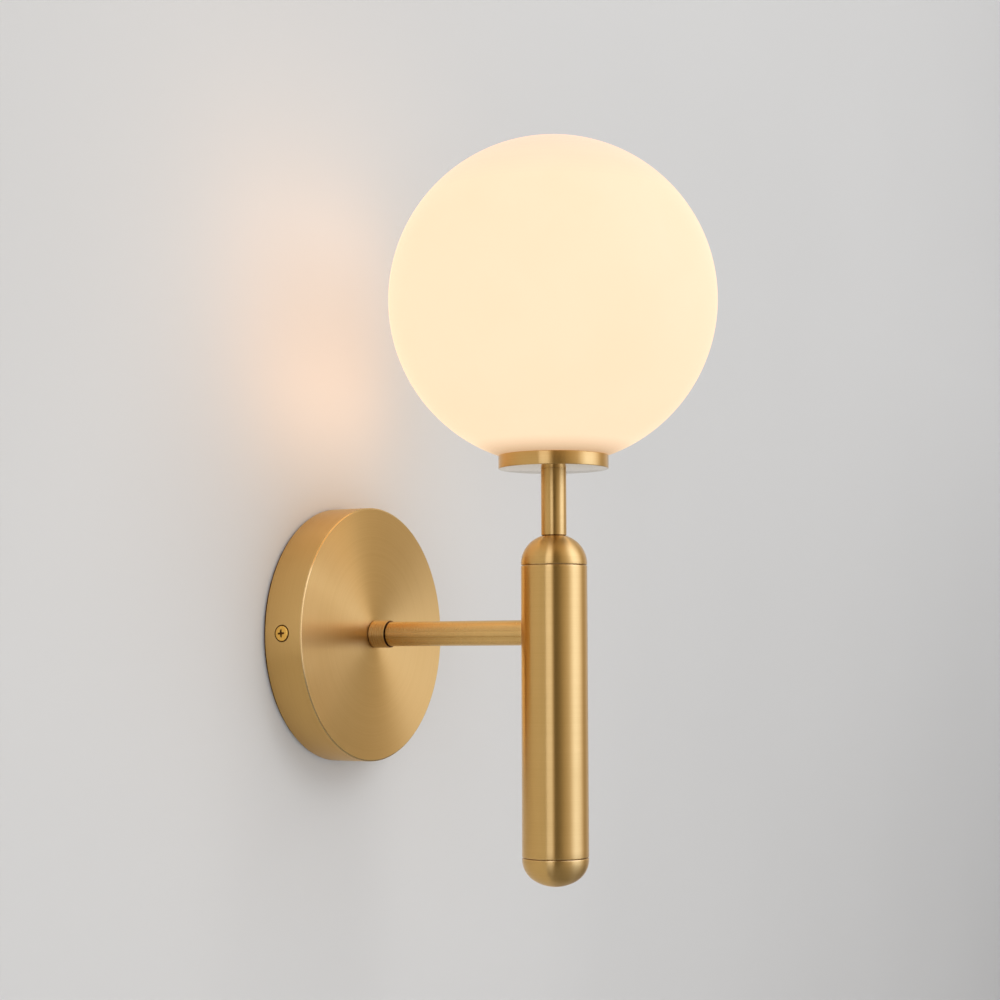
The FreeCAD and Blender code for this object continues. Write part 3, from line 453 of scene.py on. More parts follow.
def coatFaces(mesh, coats, coatOf):
    # coatOf gives a face's number: 0 is the piece's own finish, 1 the first of the coats
    for coat in coats:
        mesh.materials.append(coat)
    for face in mesh.polygons:
        face.material_index = int(coatOf(face))


def turnedPiece(name, line, material, segments, place, body, node, closed=True):
    mesh = turnedMesh(name, line, material, segments, closed)
    tidyMesh(mesh, place)
    addPiece(name, mesh, body, [node])
    return mesh


# canopy: a spun shell with a small chamfer, and two flat seats for the rim screws

canopySize = {
    "radius": 60.0, "depth": 21.0, "sheet": 1.5, "edge": (0.6, 0.35), "softening": 0.12,
    "backStep": (0.9, 1.2), "hole": 5.3, "segments": 256,
    "screwOut": 10.5, "screwHole": 2.1, "seatRadius": 3.95, "seatDepth": 0.6,
    "grooveRadius": 3.45, "grooveDepth": 1.1, "cutIn": 5.0, "cutOut": 3.0,
}


def cutWith(mesh, cutters, name):
    holder = addObject(name, mesh)
    tools = [addObject(f"{name}Cutter{index}", cutter) for index, cutter in enumerate(cutters)]
    for index, tool in enumerate(tools):
        cut = holder.modifiers.new(f"cut{index}", "BOOLEAN")
        cut.operation = "DIFFERENCE"
        cut.solver = "EXACT"
        cut.object = tool
    result = plainResult(holder)
    for tool in tools:
        bpy.data.objects.remove(tool)
    return result


def seatCutters(size):
    # each leaves the screw's hole, a flat seat and a groove round it
    r = size["radius"]
    hole, seat, floor = size["screwHole"], size["seatRadius"], r - size["seatDepth"]
    groove, low = size["grooveRadius"], r - size["grooveDepth"]
    start, end = r - size["cutIn"], r + size["cutOut"]
    line = [(0, start), (hole, start), (hole, floor), (groove, floor), (groove, low), (seat, low),
            (seat, end), (0, end)]
    cutters = []
    for side in (1, -1):
        facing = Matrix.Rotation(side * math.radians(90), 4, "Y")
        facing.translation = (0, -size["screwOut"] * mm, 0)
        cutter = turnedMesh("seatCutter", line, wallBrass, 64, closed=False)
        tidyMesh(cutter, facing)
        cutters.append(cutter)
    return cutters


def makeCanopy(size):
    r, d, s, edge, soft = (size[k] for k in ("radius", "depth", "sheet", "edge", "softening"))
    step, back = size["backStep"]
    line = rounded([
        (size["hole"], d), (r - edge[0], d, soft), (r, d - edge[1], soft), (r, back, 0.15),
        (r - step, back, 0.1), (r - step, 0, soft), (r - s, 0, soft), (r - s, d - s, 0.5),
        (size["hole"], d - s),
    ])
    mesh = turnedMesh("canopyShell", line, wallBrass, size["segments"])
    tidyMesh(mesh, outOfWall)
    mesh = cutWith(mesh, seatCutters(size), "canopyShell")
    tidyMesh(mesh)
    addPiece("canopyShell", mesh, "wall_side", ["canopy"], wallBrass)

    # painted shade in the back step and the grooves round the screw seats, and a painted highlight on the
    # front chamfer
    def coatOf(face):
        out = math.hypot(face.center.x, face.center.z) / mm
        fromScrew = math.hypot(face.center.y / mm + size["screwOut"], face.center.z / mm)
        across, deep = abs(face.center.x) / mm, size["seatDepth"]
        inSeat = fromScrew < size["seatRadius"] + margin and across < r - 4 * margin and out > r - 2 * deep
        inStep = face.center.y > -(back + margin) * mm and out > r - s + 2 * margin
        onEdge = face.normal.y < -0.3 and out > r - edge[0] - margin
        return 2 if inSeat or inStep else onEdge

    coatFaces(mesh, [litEdgeBrass, shadedRecessWall], coatOf)


makeCanopy(canopySize)

# the two rim screws: one turned and slotted screw set on points by geometry nodes

screwSize = {
    "headRadius": 3.45, "edgeHigh": 0.85, "headHigh": 1.3, "round": 0.34, "domeSteps": 8,
    "shank": 2.0, "length": 11.0, "seatUp": 59.4,
    "slotWidth": 1.0, "slotSpan": 4.6, "slotDeep": 0.9,
    "slotFoot": (0.62, 0.7),     # share of the span and of the width left at the slot's bottom
    "coneRadius": 1.05, "coneDeep": 1.15, "turn": 4.0,
}


def slotCutter(size, up, turn):
    # one slot of the cross, narrower towards its bottom
    bm = bmesh.new()
    for vertex in bmesh.ops.create_cube(bm, size=1.0)["verts"]:
        low = vertex.co.z < 0
        vertex.co.x *= size["slotSpan"] * (size["slotFoot"][0] if low else 1.0)
        vertex.co.y *= size["slotWidth"] * (size["slotFoot"][1] if low else 1.0)
        vertex.co.z = up - size["slotDeep"] if low else up + 1.0
    bmesh.ops.rotate(bm, verts=bm.verts, cent=(0, 0, 0), matrix=Matrix.Rotation(math.radians(turn), 3, "Z"))
    bmesh.ops.scale(bm, vec=(mm, mm, mm), verts=bm.verts)
    mesh = bpy.data.meshes.new("rimScrewSlot")
    bm.to_mesh(mesh)
    bm.free()
    return mesh


def screwMesh(size):
    high, edge, r = size["headHigh"], size["edgeHigh"], size["headRadius"]
    shares = [1 - step / size["domeSteps"] for step in range(1, size["domeSteps"] + 1)]
    crown = [(r * share, edge + (high - edge) * (1 - share ** 2)) for share in shares]
    line = rounded([
        (0, -size["length"]), (size["shank"], -size["length"], 0.3), (size["shank"], 0), (r, 0, 0.1),
        (r, edge, size["round"])] + crown, closed=False)
    mesh = turnedMesh("rimScrew", line, litEdgeBrass, 64, closed=False)
    tidyMesh(mesh)
    over = high + 0.3
    cone = turnedMesh("rimScrewCone", [(0, high - size["coneDeep"]), (size["coneRadius"], over), (0, over)],
                      litEdgeBrass, 24, closed=False)
    tidyMesh(cone)
    slots = [slotCutter(size, high, turn) for turn in (size["turn"], 90 + size["turn"])]
    mesh = cutWith(mesh, slots + [cone], "rimScrew")
    tidyMesh(mesh)
    return mesh


def instanceTree():
    # puts a given mesh on each point, turned as the point says
    tree = bpy.data.node_groups.new("setOnPoints", "GeometryNodeTree")
    face = tree.interface
    face.new_socket(name="Points", in_out="INPUT", socket_type="NodeSocketGeometry")
    face.new_socket(name="Part", in_out="INPUT", socket_type="NodeSocketObject")
    face.new_socket(name="Size", in_out="INPUT", socket_type="NodeSocketFloat").default_value = 1.0
    face.new_socket(name="Finish", in_out="INPUT", socket_type="NodeSocketMaterial")
    face.new_socket(name="Set", in_out="OUTPUT", socket_type="NodeSocketGeometry")
    given = tree.nodes.new("NodeGroupInput").outputs
    part = addNode(tree, "GeometryNodeObjectInfo", transform_space="ORIGINAL")
    turn = addNode(tree, "GeometryNodeInputNamedAttribute", data_type="FLOAT_VECTOR")
    turn.inputs["Name"].default_value = "turn"
    setOn = addNode(tree, "GeometryNodeInstanceOnPoints")
    real = addNode(tree, "GeometryNodeRealizeInstances")
    finish = addNode(tree, "GeometryNodeSetMaterial")
    result = tree.nodes.new("NodeGroupOutput").inputs
    linkAll(tree, [
        (given["Part"], part.inputs["Object"]),
        (given["Points"], setOn.inputs["Points"]),
        (part.outputs["Geometry"], setOn.inputs["Instance"]),
        (turn.outputs["Attribute"], setOn.inputs["Rotation"]),
        (given["Size"], setOn.inputs["Scale"]),
        (setOn.outputs["Instances"], real.inputs["Geometry"]),
        (real.outputs["Geometry"], finish.inputs["Geometry"]),
        (given["Finish"], finish.inputs["Material"]),
        (finish.outputs["Geometry"], result["Set"]),
    ])
    return tree


setOnPoints = instanceTree()


def scattered(name, part, spots, material):
    # spots are (place, turn in radians); the result is one plain mesh
    points = bpy.data.meshes.new(name + "Points")
    points.from_pydata([place for place, turn in spots], [], [])
    turns = points.attributes.new("turn", "FLOAT_VECTOR", "POINT")
    for entry, (place, turn) in zip(turns.data, spots):
        entry.vector = turn
    source = addObject(name + "Part", part)
    holder = addObject(name + "Holder", points)
    setter = holder.modifiers.new("set", "NODES")
    setter.node_group = setOnPoints
    ids = socketIds(setOnPoints)
    setter[ids["Part"]] = source
    setter[ids["Size"]] = 1.0
    setter[ids["Finish"]] = material
    mesh = plainResult(holder)
    bpy.data.objects.remove(source)
    return mesh


def makeRimScrews(size):
    fromWall = canopySize["screwOut"]
    up, quarter = size["seatUp"] * mm, math.radians(90)
    spots = [((side * up, -fromWall * mm, 0), (0, side * quarter, 0)) for side in (1, -1)]
    mesh = scattered("rimScrews", screwMesh(size), spots, screwHighlightBrass)
    tidyMesh(mesh)
    nodes = ["canopy_screw_left", "canopy_screw_right"]
    addPiece("rimScrews", mesh, "wall_side", nodes, screwHighlightBrass)

    def inSlot(face):
        up = abs(face.center.x) / mm - size["seatUp"]
        out = math.hypot(face.center.y / mm + fromWall, face.center.z / mm) / size["headRadius"]
        surface = size["edgeHigh"] + (size["headHigh"] - size["edgeHigh"]) * (1 - out ** 2)
        return 0.1 < up < surface - 0.07 and out < 0.72

    # painted shade in the screws' cross slots
    coatFaces(mesh, [shadedRecessWall], inSlot)


makeRimScrews(screwSize)

# collar with fine turned rings

collarSize = {
    "radius": 6.45, "start": 21.0, "end": 30.0, "foot": (0.4, 0.5), "edge": 0.14,
    "rings": 5, "pitch": 1.3, "first": 1.9, "ringDepth": 0.22, "ringWidth": 0.5,
    "spigot": 5.2, "spigotEnd": 15.5, "bore": 4.15, "segments": 128,
}


def makeCollar(size):
    r, start, end, edge = size["radius"], size["start"], size["end"], size["edge"]
    step, up = size["foot"][0], start + size["foot"][1]
    corners = [(size["bore"], size["spigotEnd"]), (size["spigot"], size["spigotEnd"], 0.2),
               (size["spigot"], start), (r - step, start), (r - step, up, 0.1), (r, up, 0.12)]
    for ring in range(size["rings"]):
        middle = start + size["first"] + ring * size["pitch"]
        half = size["ringWidth"] / 2
        corners += [(r, middle - half, 0.06), (r - size["ringDepth"], middle, 0.05),
                    (r, middle + half, 0.06)]
    corners += [(r, end - edge, 0.05), (r - edge, end, 0.05), (size["bore"], end)]
    mesh = turnedPiece("armCollar", rounded(corners), wallBrass, size["segments"], outOfWall,
                       "wall_side", "arm_collar")
    # painted shade on the collar's foot step, its spigot and its end face at the joint with the arm
    coatFaces(mesh, [shadedRecessWall], lambda face: not up - margin <= -face.center.y / mm <= end - margin)


makeCollar(collarSize)
print("wall pieces made")

# arm: its far end follows the round side of the body

armSize = {
    "radius": 5.75, "sheet": 1.2, "start": 30.6, "bodyRadius": 15.0, "softening": 0.12,
    "runs": 24, "segments": 128,
}


def makeArm(size):
    r, start, runs = size["radius"], size["start"], size["runs"]
    inner, end = r - size["sheet"], stemOut - size["bodyRadius"]
    outer = [(r, start + (end - start) * run / runs) for run in range(1, runs)]
    line = rounded([(inner, start), (r, start, size["softening"])] + outer + [(r, end), (inner, end)])
    mesh = turnedPiece("armTube", line, armBrass, size["segments"], outOfWall,
                       "arm_and_stem", "arm_tube")
    for vertex in mesh.vertices:
        if vertex.co.y < -(end - 0.01) * mm:
            vertex.co.y = -(stemOut - math.sqrt(size["bodyRadius"] ** 2 - (vertex.co.x / mm) ** 2)) * mm
    # painted shade on the arm's start face at the gap by the collar
    coatFaces(mesh, [shadedRecessWall], lambda face: face.center.y > -(start + margin) * mm)


makeArm(armSize)

# upright body and its domed caps

bodySize = {
    "radius": 15.0, "sheet": 1.5, "top": 30.2, "bottom": -100.2, "gap": 0.13, "softening": 0.32,
    "lip": 0.8, "spigot": 13.4, "spigotLength": 8.0, "bore": 11.0, "cavity": 3.0,
    "blend": 0.4, "topFlat": 1.4, "bottomFlat": 2.8, "seat": 5.95, "rodHole": 4.1,
    "brightLip": 0.5, "runs": 40, "segments": 192,
}


def domeLine(size, flat, endRadius, steps=20):
    # from the lip up to the crown, heights counted from the top of the lip
    r, blend = size["radius"], size["blend"]
    drop = (1 + 2 * blend) / (2 * blend)
    shoulder = r - (1 + blend) * flat
    crown = r - flat + drop * flat
    join = math.degrees(math.atan2(drop, 1 + blend))
    shoulderLine = arc(r - shoulder, 0, shoulder, 0, join, steps)
    endAngle = math.degrees(math.acos(endRadius / crown))
    crownLine = arc(0, -drop * flat, crown, join, endAngle, steps)
    return shoulderLine + crownLine[1:]


def capLine(size, seamUp, way, flat, hole):
    # way is 1 for the cap on top and -1 for the one below; the line runs from the crown over the
    # side and the spigot to the inside of the roof
    r, spigot, bore = size["radius"], size["spigot"], size["bore"]
    seam, lip = seamUp + way * size["gap"], seamUp + way * size["lip"]
    end, roof = seamUp - way * size["spigotLength"], lip + way * size["cavity"]
    dome = [Vector((p[0], lip + way * p[1])) for p in domeLine(size, flat, size["seat"] if hole else 0.0)]
    last = [(hole, roof), (hole, dome[-1][1])] if hole else [(0, roof)]
    side = rounded([(r, lip), (r, seam, size["softening"]), (spigot, seam)], closed=False)
    inside = rounded([(spigot, seam), (spigot, end, 0.3), (bore, end, 0.3), (bore, roof, 0.5)] + last,
                     closed=False)
    return dome[::-1] + side + inside[1:]


def makeBody(size):
    r, gap, soft, runs = (size[k] for k in ("radius", "gap", "softening", "runs"))
    inner, top, bottom = r - size["sheet"], size["top"], size["bottom"]
    low, high = bottom + gap, top - gap
    side = [(r, low + (high - low) * run / runs) for run in range(1, runs)]
    tube = rounded([(inner, low), (r, low, soft)] + side + [(r, high, soft), (inner, high)])
    topLine = capLine(size, top, 1, size["topFlat"], size["rodHole"])
    bottomLine = capLine(size, bottom, -1, size["bottomFlat"], 0)

    def onLip(face):
        # the rounded lips at a seam are polished, and their lighter colour is a painted highlight
        atSeam = min(abs(face.center.z / mm - height) for height in (top, bottom)) < size["brightLip"]
        return atSeam and 0.12 < abs(face.normal.z) < 0.97

    pieces = [("bodyTube", tube, "body_tube", True), ("topCap", topLine, "top_cap", True),
              ("bottomCap", bottomLine, "bottom_cap", False)]
    for name, line, node, closed in pieces:
        mesh = turnedPiece(name, line, stemBrass, size["segments"], onStem, "arm_and_stem",
                           node, closed)
        coatFaces(mesh, [litLipBrass], onLip)


makeBody(bodySize)

# neck and cup

neckSize = {
    "radius": 5.75, "sheet": 1.2, "low": 43.51, "high": 74.01, "softening": 0.12, "foot": (0.4, 0.45),
    "segments": 128,
}
cupSize = {
    "radius": 25.0, "low": 74.01, "high": 80.11, "floor": 1.5, "rim": 1.7, "softening": 0.3, "hole": 4.1,
    "segments": 192,
}


def makeNeckAndCup(neck, cup):
    r, low, high, soft = (neck[k] for k in ("radius", "low", "high", "softening"))
    inner, step, up = r - neck["sheet"], neck["foot"][0], low + neck["foot"][1]
    line = rounded([(inner, low), (r - step, low), (r - step, up, 0.08), (r, up, soft), (r, high, soft),
                    (inner, high)])
    mesh = turnedPiece("neckTube", line, stemBrass, neck["segments"], onStem,
                       "arm_and_stem", "neck_tube")
    # painted shade on the neck's foot step, where it meets the top cap
    coatFaces(mesh, [shadedRecessStem], lambda face: face.center.z < up * mm)
    r, low, high, soft = (cup[k] for k in ("radius", "low", "high", "softening"))
    line = rounded([
        (cup["hole"], low), (r, low, soft), (r, high, soft), (r - cup["rim"], high, 0.2),
        (r - cup["rim"], low + cup["floor"], 0.3), (cup["hole"], low + cup["floor"]),
    ])
    mesh = turnedPiece("galleryCup", line, stemBrass, cup["segments"], onStem,
                       "arm_and_stem", "gallery_cup")
    # painted reflection of the wall on the cup's flat underside
    coatFaces(mesh, [underReflectionBrass], lambda face: face.normal.z < -0.95 and face.center.z < (low + 0.2) * mm)


makeNeckAndCup(neckSize, cupSize)
print("stem pieces made")

# opal globe with its short neck

globeSize = {
    "radius": 75.0, "middle": 151.07, "wall": 3.0, "foot": 24.85, "footUp": 80.31,
    "neck": 23.0, "neckLow": 76.51, "mouth": 20.0, "segments": 192,
    "footBand": 0.75,                       # degrees of the glass for each band of light at the foot
    "topUp": 198.0, "topBand": 2.15,        # where the crown's bands start and how high each is
    "outsideSteps": 66, "insideSteps": 72,
}


def makeGlobe(size):
    r, middle, mouth, neck = size["radius"], size["middle"], size["mouth"], size["neck"]
    inner, feet, tops = r - size["wall"], len(opalFootShade), len(opalCrownShade)
    startAngle = -math.degrees(math.acos(size["foot"] / r))
    mouthAngle = -math.degrees(math.acos(mouth / inner))
    footEnd = startAngle + size["footBand"] * feet
    outside = arc(0, middle, r, startAngle, footEnd, feet)
    outside += arc(0, middle, r, footEnd, 90, size["outsideSteps"])[1:]
    inside = arc(0, middle, inner, 90, mouthAngle, size["insideSteps"])
    neckLine = rounded([
        (mouth, middle - math.sqrt(inner ** 2 - mouth ** 2)), (mouth, size["neckLow"], 0.8),
        (neck, size["neckLow"], 0.8), (neck, size["footUp"], 0.3), (size["foot"], size["footUp"]),
    ], closed=False)
    outside[-1] = Vector((0, middle + r))
    inside[0] = Vector((0, middle + inner))
    mesh = turnedPiece("globeGlass", outside + inside + neckLine[1:-1], opal, size["segments"], onStem,
                       "globe", "globe_glass")

    def bandOf(face):
        out = math.hypot(face.center.x, face.center.y + stemOut * mm)
        angle = math.degrees(math.atan2(face.center.z - middle * mm, out))
        footBand = max(int((angle - startAngle) / size["footBand"]), 0)
        topBand = math.floor((face.center.z / mm - size["topUp"]) / size["topBand"])
        if footBand < feet:
            return 1 + footBand
        return 1 + feet + min(topBand, tops - 1) if topBand >= 0 else 0

    # painted shade: dimmer bands at the glass's foot and at its crown
    coatFaces(mesh, opalFootShade + opalCrownShade, bandOf)


makeGlobe(globeSize)

# the bulb's milky shell

capsuleSize = {
    "low": 110.31, "base": 112.81, "top": 149.81, "radius": 8.5, "wall": 1.0, "sleeve": 5.8,
    "softening": 0.35, "steps": 24, "segments": 96,
}


def makeCapsule(size):
    r, wall, low, base = size["radius"], size["wall"], size["low"], size["base"]
    sleeve, bore, shoulder = size["sleeve"], size["sleeve"] - wall, size["top"] - r
    outside = rounded([(bore, low), (sleeve, low, 0.1), (sleeve, base), (r, base, size["softening"]),
                       (r, shoulder)], closed=False)
    crown = arc(0, shoulder, r, 0, 90, size["steps"])[1:]
    crown[-1].x = 0
    inside = arc(0, shoulder, r - wall, 90, 0, size["steps"])
    inside[0].x = 0
    inside += [Vector((r - wall, base + wall)), Vector((bore, base + wall)), Vector((bore, low))]
    turnedPiece("bulbCapsule", outside + crown + inside, milkShell, size["segments"], onStem,
                "bulb", "bulb_capsule", closed=False)


makeCapsule(capsuleSize)
print("globe and bulb made")

# camera at the photograph's place: metres, degrees, and a focal length in pixels of the frame

cameraSize = {
    "place": (-0.7854, -0.5421, -0.0093), "heading": 60.07, "pitch": 4.44, "roll": -0.19,
    "focal": 1974.9, "frame": 1000, "sensor": 36.0, "nearest": 0.02,
}


def makeCamera(size):
    data = bpy.data.cameras.new("photoCamera")
    data.sensor_width = size["sensor"]
    data.lens = size["focal"] * size["sensor"] / size["frame"]
    data.clip_start = size["nearest"]
    camera = addObject("photoCamera", data)
    heading, pitch, roll = (math.radians(size[k]) for k in ("heading", "pitch", "roll"))
    level = math.cos(pitch)
    ahead = Vector((math.sin(heading) * level, math.cos(heading) * level, math.sin(pitch)))
    right = ahead.cross(Vector((0, 0, 1))).normalized()
    up = right.cross(ahead)
    turnedRight = right * math.cos(roll) + up * math.sin(roll)
    turnedUp = up * math.cos(roll) - right * math.sin(roll)
    frameAxes = Matrix((turnedRight, turnedUp, -ahead)).transposed()
    camera.matrix_world = Matrix.Translation(size["place"]) @ frameAxes.to_4x4()
    scene.camera = camera


makeCamera(cameraSize)

# wall, floor, lamps and world

roomLook = {
    "wallSize": 6.0, "wallGap": 0.3, "recess": 57.0, "recessSteps": 64, "floorUp": -0.9,
    "wall": (0.66, 0.655, 0.65), "wallDark": 0.975, "floor": (0.72, 0.71, 0.70), "floorDark": 0.96,
    # the wall's tone changes with the place, in metres from the canopy
    "farShade": 0.78, "farAcross": (0.2, 1.2), "farDown": (0.25, -0.4),
    "nearGlow": 1.09, "nearReach": (0.08, 0.34),
    "ambient": 0.725, "seen": 0.66,      # the world as a light and as the camera sees it
    # how bright the room looks to the metal, by heading from +Y towards +X in degrees
    "headings": [
        (0, 0.62), (60, 0.7), (86, 0.8), (102, 0.7), (112, 0.60), (123, 0.62), (132, 1.05), (143, 1.6),
        (152, 1.85), (168, 1.95), (177, 1.6), (190, 0.9), (208, 0.6), (226, 0.22), (242, 0.12), (248, 0.8),
        (254, 1.5), (270, 1.5), (279, 0.8), (360, 0.7),
    ],
    "plainLevel": 1.6, "brightest": 2.1, "tintPower": 1.25,
    "warm": (1.0, 0.82, 0.45), "cool": (1.0, 1.24, 2.0),     # tint of the dark and of the bright headings
    "skyline": (-0.5, 0.05), "skyLevels": (0.40, 1.6),       # the room is darker below the skyline
    "wallShine": 0.98, "floorShine": 0.42,                   # share of their light that the metal sees
}


def dimInReflections(tree, shader, share):
    light = addNode(tree, "ShaderNodeLightPath")
    dim = addNode(tree, "ShaderNodeVectorMath", operation="SCALE")
    coat = shader.inputs["Base Color"]
    feed(tree, coat.links[0].from_socket, dim.inputs[0])
    feed(tree, rangeNode(tree, light.outputs["Is Glossy Ray"], 0, 1, 1, share), dim.inputs["Scale"])
    feed(tree, dim.outputs[0], coat)


def wallMesh(half, out, up, recess, steps):
    # a plain wall with the round recess that the canopy covers
    bm = bmesh.new()
    corners = [bm.verts.new((x, out, z)) for x, z in ((-half, up), (half, up), (half, half), (-half, half))]
    turns = [2 * math.pi * step / steps for step in range(steps)]
    ring = [bm.verts.new((recess * math.cos(turn), out, recess * math.sin(turn))) for turn in turns]
    for loop in (corners, ring):
        for first, second in zip(loop, loop[1:] + loop[:1]):
            bm.edges.new((first, second))
    bmesh.ops.triangle_fill(bm, use_beauty=True, use_dissolve=False, edges=bm.edges, normal=(0, -1, 0))
    bmesh.ops.recalc_face_normals(bm, faces=bm.faces)
    if bm.faces and sum(face.normal.y for face in bm.faces) > 0:
        bmesh.ops.reverse_faces(bm, faces=bm.faces)
    mesh = bpy.data.meshes.new("wall")
    bm.to_mesh(mesh)
    bm.free()
    return mesh


def wallPaint(look):
    material, tree, shader, place = newMaterial("paleWall", Roughness=0.9, Specular_IOR_Level=0.2)
    paint = noiseNode(tree, place, 240, 4.0)
    broad = noiseNode(tree, place, 2.2, 2.0)
    darker = [c * look["wallDark"] for c in look["wall"]]
    plain = rampNode(tree, broad, [(0.3, darker), (0.7, look["wall"])])
    # the far lower corner lies in the room's shade
    parts = addNode(tree, "ShaderNodeSeparateXYZ")
    feed(tree, place, parts.inputs[0])
    far = rangeNode(tree, parts.outputs["X"], *look["farAcross"], 0, 1)
    low = rangeNode(tree, parts.outputs["Z"], *look["farDown"], 0, 1)
    dim = rangeNode(tree, mathNode(tree, "MULTIPLY", far, low), 0, 1, 1, look["farShade"])
    # and the lamp's own light makes the wall round it a little paler
    reach = addNode(tree, "ShaderNodeVectorMath", operation="LENGTH")
    feed(tree, place, reach.inputs[0])
    near = rangeNode(tree, reach.outputs["Value"], *look["nearReach"], look["nearGlow"], 1)
    shade = addNode(tree, "ShaderNodeVectorMath", operation="SCALE")
    feed(tree, plain, shade.inputs[0])
    feed(tree, mathNode(tree, "MULTIPLY", dim, near), shade.inputs["Scale"])
    feed(tree, shade.outputs[0], shader.inputs["Base Color"])
    bumpInto(tree, shader, paint, 0.25, 0.12)
    dimInReflections(tree, shader, look["wallShine"])
    # only the wall's front shows, so the fixing side can be looked at from behind
    side = addNode(tree, "ShaderNodeNewGeometry").outputs["Backfacing"]
    clear = addNode(tree, "ShaderNodeBsdfTransparent")
    mixed = addNode(tree, "ShaderNodeMixShader")
    feed(tree, side, mixed.inputs["Fac"])
    feed(tree, shader.outputs[0], mixed.inputs[1])
    feed(tree, clear.outputs[0], mixed.inputs[2])
    feed(tree, mixed.outputs[0], tree.nodes["Material Output"].inputs["Surface"])
    return material


def makeStage(look):
    half, up, out = look["wallSize"] / 2, look["floorUp"], look["wallGap"] * mm
    paint = wallPaint(look)
    wall = wallMesh(half, out, up, look["recess"] * mm, look["recessSteps"])
    darker = [c * look["floorDark"] for c in look["floor"]]
    floorMaterial = speckled("paleFloor", look["floor"], darker, (0.7, 0.9), 30, 0.05)
    floorTree = floorMaterial.node_tree
    dimInReflections(floorTree, floorTree.nodes["Principled BSDF"], look["floorShine"])
    floor = bpy.data.meshes.new("floor")
    corners = [(-half, -half, up), (half, -half, up), (half, out, up), (-half, out, up)]
    floor.from_pydata(corners, [], [(0, 1, 2, 3)])
    for name, mesh, coat in (("wall", wall, paint), ("floor", floor, floorMaterial)):
        mesh.materials.append(coat)
        addObject(name, mesh)


def grey(level):
    return (level, level, level, 1)


def makeWorld(look):
    world = bpy.data.worlds.new("studio")
    scene.world = world
    world.use_nodes = True
    tree = world.node_tree
    background = tree.nodes["Background"]
    toward = addNode(tree, "ShaderNodeTexCoord").outputs["Generated"]
    parts = addNode(tree, "ShaderNodeSeparateXYZ")
    feed(tree, toward, parts.inputs[0])
    turn = mathNode(tree, "ARCTAN2", parts.outputs["X"], parts.outputs["Y"])
    share = mathNode(tree, "FRACT", mathNode(tree, "ADD", mathNode(tree, "DIVIDE", turn, 2 * math.pi), 1.0))
    stops = []
    for degrees, level in look["headings"]:
        blend = (level / look["brightest"]) ** look["tintPower"]
        tint = [warm + (cool - warm) * blend for warm, cool in zip(look["warm"], look["cool"])]
        stops.append((degrees / 360, [level / look["plainLevel"] * part for part in tint]))
    room = rampNode(tree, share, stops, "LINEAR")
    light = addNode(tree, "ShaderNodeLightPath")
    height = rangeNode(tree, parts.outputs["Z"], *look["skyline"], *look["skyLevels"])
    scaled = addNode(tree, "ShaderNodeVectorMath", operation="SCALE")
    feed(tree, room, scaled.inputs[0])
    feed(tree, height, scaled.inputs["Scale"])
    mixed = addNode(tree, "ShaderNodeMix", data_type="RGBA")
    feed(tree, light.outputs["Is Glossy Ray"], mixed.inputs["Factor"])
    mixed.inputs[6].default_value = grey(look["ambient"])
    feed(tree, scaled.outputs[0], mixed.inputs[7])
    seen = addNode(tree, "ShaderNodeMix", data_type="RGBA")
    feed(tree, light.outputs["Is Camera Ray"], seen.inputs["Factor"])
    feed(tree, mixed.outputs[2], seen.inputs[6])
    seen.inputs[7].default_value = grey(look["seen"])
    feed(tree, seen.outputs[2], background.inputs["Color"])
    background.inputs["Strength"].default_value = 1.0


def addLamp(name, place, aim, size, power, colour, body=None):
    data = bpy.data.lights.new(name, "AREA")
    data.shape = "RECTANGLE"
    data.size, data.size_y = size
    data.energy = power
    data.color = colour
    lamp = addObject(name, data)
    lamp.location = place
    lamp.rotation_euler = (Vector(aim) - Vector(place)).to_track_quat("-Z", "Y").to_euler()
    lamp.visible_glossy = False
    if body:
        lamp.parent = frame["bodies"][body]


# the glow lamps are the globe's own light on the wall, so they move with the globe
lamps = [
    # name, place, aim and size in metres, watts, colour, body
    ("keyLamp", (0.3, -1.45, 1.3), (0.15, 0, 0), (1.6, 1.6), 12.8, (1.0, 0.99, 0.97)),
    ("sideLamp", (-1.5, -1.2, -0.2), (0, 0, 0), (1.2, 1.2), 5.2, (0.98, 0.99, 1.0)),
    ("glowHigh", (-0.024, -0.042, 0.156), (-0.030, 0, 0.155), (0.13, 0.11), 0.0135, (1.0, 0.37, 0.07),
     "globe"),
    ("glowLow", (-0.015, -0.045, 0.108), (-0.018, 0, 0.094), (0.09, 0.04), 0.0110, (1.0, 0.64, 0.40),
     "globe"),
]

makeStage(roomLook)
makeWorld(roomLook)
for lamp in lamps:
    addLamp(*lamp)
scene.view_settings.view_transform = "Standard"
print("camera, stage and light made")

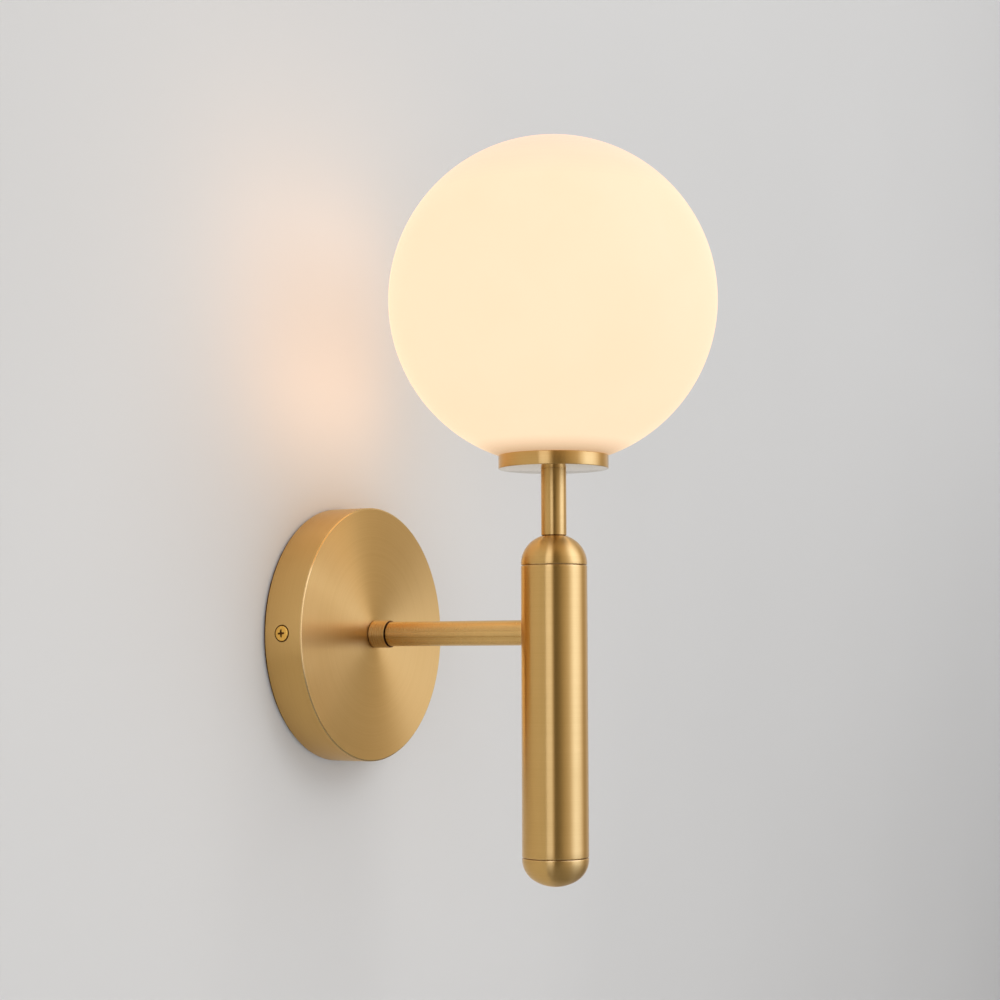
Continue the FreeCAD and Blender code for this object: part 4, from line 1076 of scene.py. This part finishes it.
# inner pieces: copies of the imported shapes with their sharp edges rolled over

softenedPieces = {
    # piece name: (node, body, slot, material, rounding in millimetres)
    "mountingStrap": ("mounting_bracket", "wall_side", "zinc_steel", zinc, 0.22),
    "collarNut": ("collar_nut", "wall_side", "zinc_steel", zinc, 0.3),
    "earthLug": ("earth_lug", "wall_side", "zinc_steel", zinc, 0.15),
    "earthScrew": ("earth_screw", "wall_side", "zinc_steel", zinc, 0.15),
    "terminalBlock": ("terminal_block", "wall_side", "nylon", nylon, 0.3),
    "swivelNut": ("swivel_nut", "arm_and_stem", "zinc_steel", zinc, 0.3),
    "swivelWasher": ("swivel_washer", "arm_and_stem", "zinc_steel", zinc, 0.12),
    "armNut": ("arm_nut", "arm_and_stem", "zinc_steel", zinc, 0.3),
    "neckNutLower": ("neck_nut_lower", "arm_and_stem", "zinc_steel", zinc, 0.3),
    "neckNutUpper": ("neck_nut_upper", "arm_and_stem", "zinc_steel", zinc, 0.3),
    "holderBracket": ("holder_bracket", "arm_and_stem", "zinc_steel", zinc, 0.15),
    "pinHolder": ("lampholder", "arm_and_stem", "ceramic", ceramic, 0.35),
    "bulbBase": ("bulb_base", "bulb", "ceramic", ceramic, 0.3),
}


def softenedMesh(source, rounding, sharp=35.0):
    mesh = source.data.copy()
    bm = bmesh.new()
    bm.from_mesh(mesh)
    bmesh.ops.remove_doubles(bm, verts=bm.verts, dist=0.002 * mm)
    bmesh.ops.dissolve_limit(bm, angle_limit=math.radians(0.6), verts=bm.verts, edges=bm.edges)
    edges = [e for e in bm.edges if len(e.link_faces) == 2 and e.calc_face_angle(0) > math.radians(sharp)]
    bmesh.ops.bevel(bm, geom=edges, offset=rounding * mm, segments=2, profile=0.6, affect="EDGES",
                    clamp_overlap=True)
    bm.to_mesh(mesh)
    bm.free()
    tidyMesh(mesh, flip=False, sharp=28.0)
    return mesh


def makeSoftened(pieces):
    for name, (node, body, slot, material, rounding) in pieces.items():
        addPiece(name, softenedMesh(frame["nodes"][node], rounding), body, [node], material)


makeSoftened(softenedPieces)

# hollow threaded rods, with a ring of thread every pitch

rodSize = {
    "radius": 4.0, "bore": 2.6, "pitch": 1.0, "root": 0.42, "end": 0.5, "segments": 48,
    "crest": (0.42, 0.58),       # where a thread's flat crest starts and ends, as shares of the pitch
}
rods = {
    # piece name: (node, low, high, place, material)
    "armRod": ("arm_nipple", 10.25, 112.0, outOfWall, wallBrass),
    "neckRod": ("neck_nipple", 29.7, 80.81, onStem, stemBrass),
}


def makeRods(size):
    crest, root, bore = size["radius"], size["radius"] - size["root"], size["bore"]
    for name, (node, low, high, place, material) in rods.items():
        turns = int((high - low - 2 * size["end"]) / size["pitch"])
        line = [(bore, low), (root, low)]
        for step in range(turns):
            up = low + size["end"] + step * size["pitch"]
            line += [(root, up)] + [(crest, up + share * size["pitch"]) for share in size["crest"]]
        line += [(root, high - size["end"]), (root, high), (bore, high)]
        turnedPiece(name, line, material, size["segments"], place, "arm_and_stem", node)


makeRods(rodSize)
print("inner pieces made")

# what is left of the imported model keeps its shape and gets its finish

nodeFinish = {
    zinc: ["stop_pin", "terminal_fixing_screw", "terminal_screw_1", "terminal_screw_2", "terminal_screw_3",
           "terminal_screw_4", "arm_saddle", "holder_screw_left", "holder_screw_right"],
    brightMetal: ["holder_contact_front", "holder_contact_rear", "bulb_pin_front", "bulb_pin_rear",
                  "terminal_tube_upper", "terminal_tube_lower"],
    boardSkin: ["led_board"],
    rubber: ["globe_seal"],
    sheath: ["arm_cable"],
    liveSkin: ["live_lead", "stem_lead_live"],
    neutralSkin: ["neutral_lead", "stem_lead_neutral"],
    earthSkin: ["earth_lead"],
}
for material, names in nodeFinish.items():
    for name in names:
        for slot in frame["nodes"][name].material_slots:
            slot.material = material
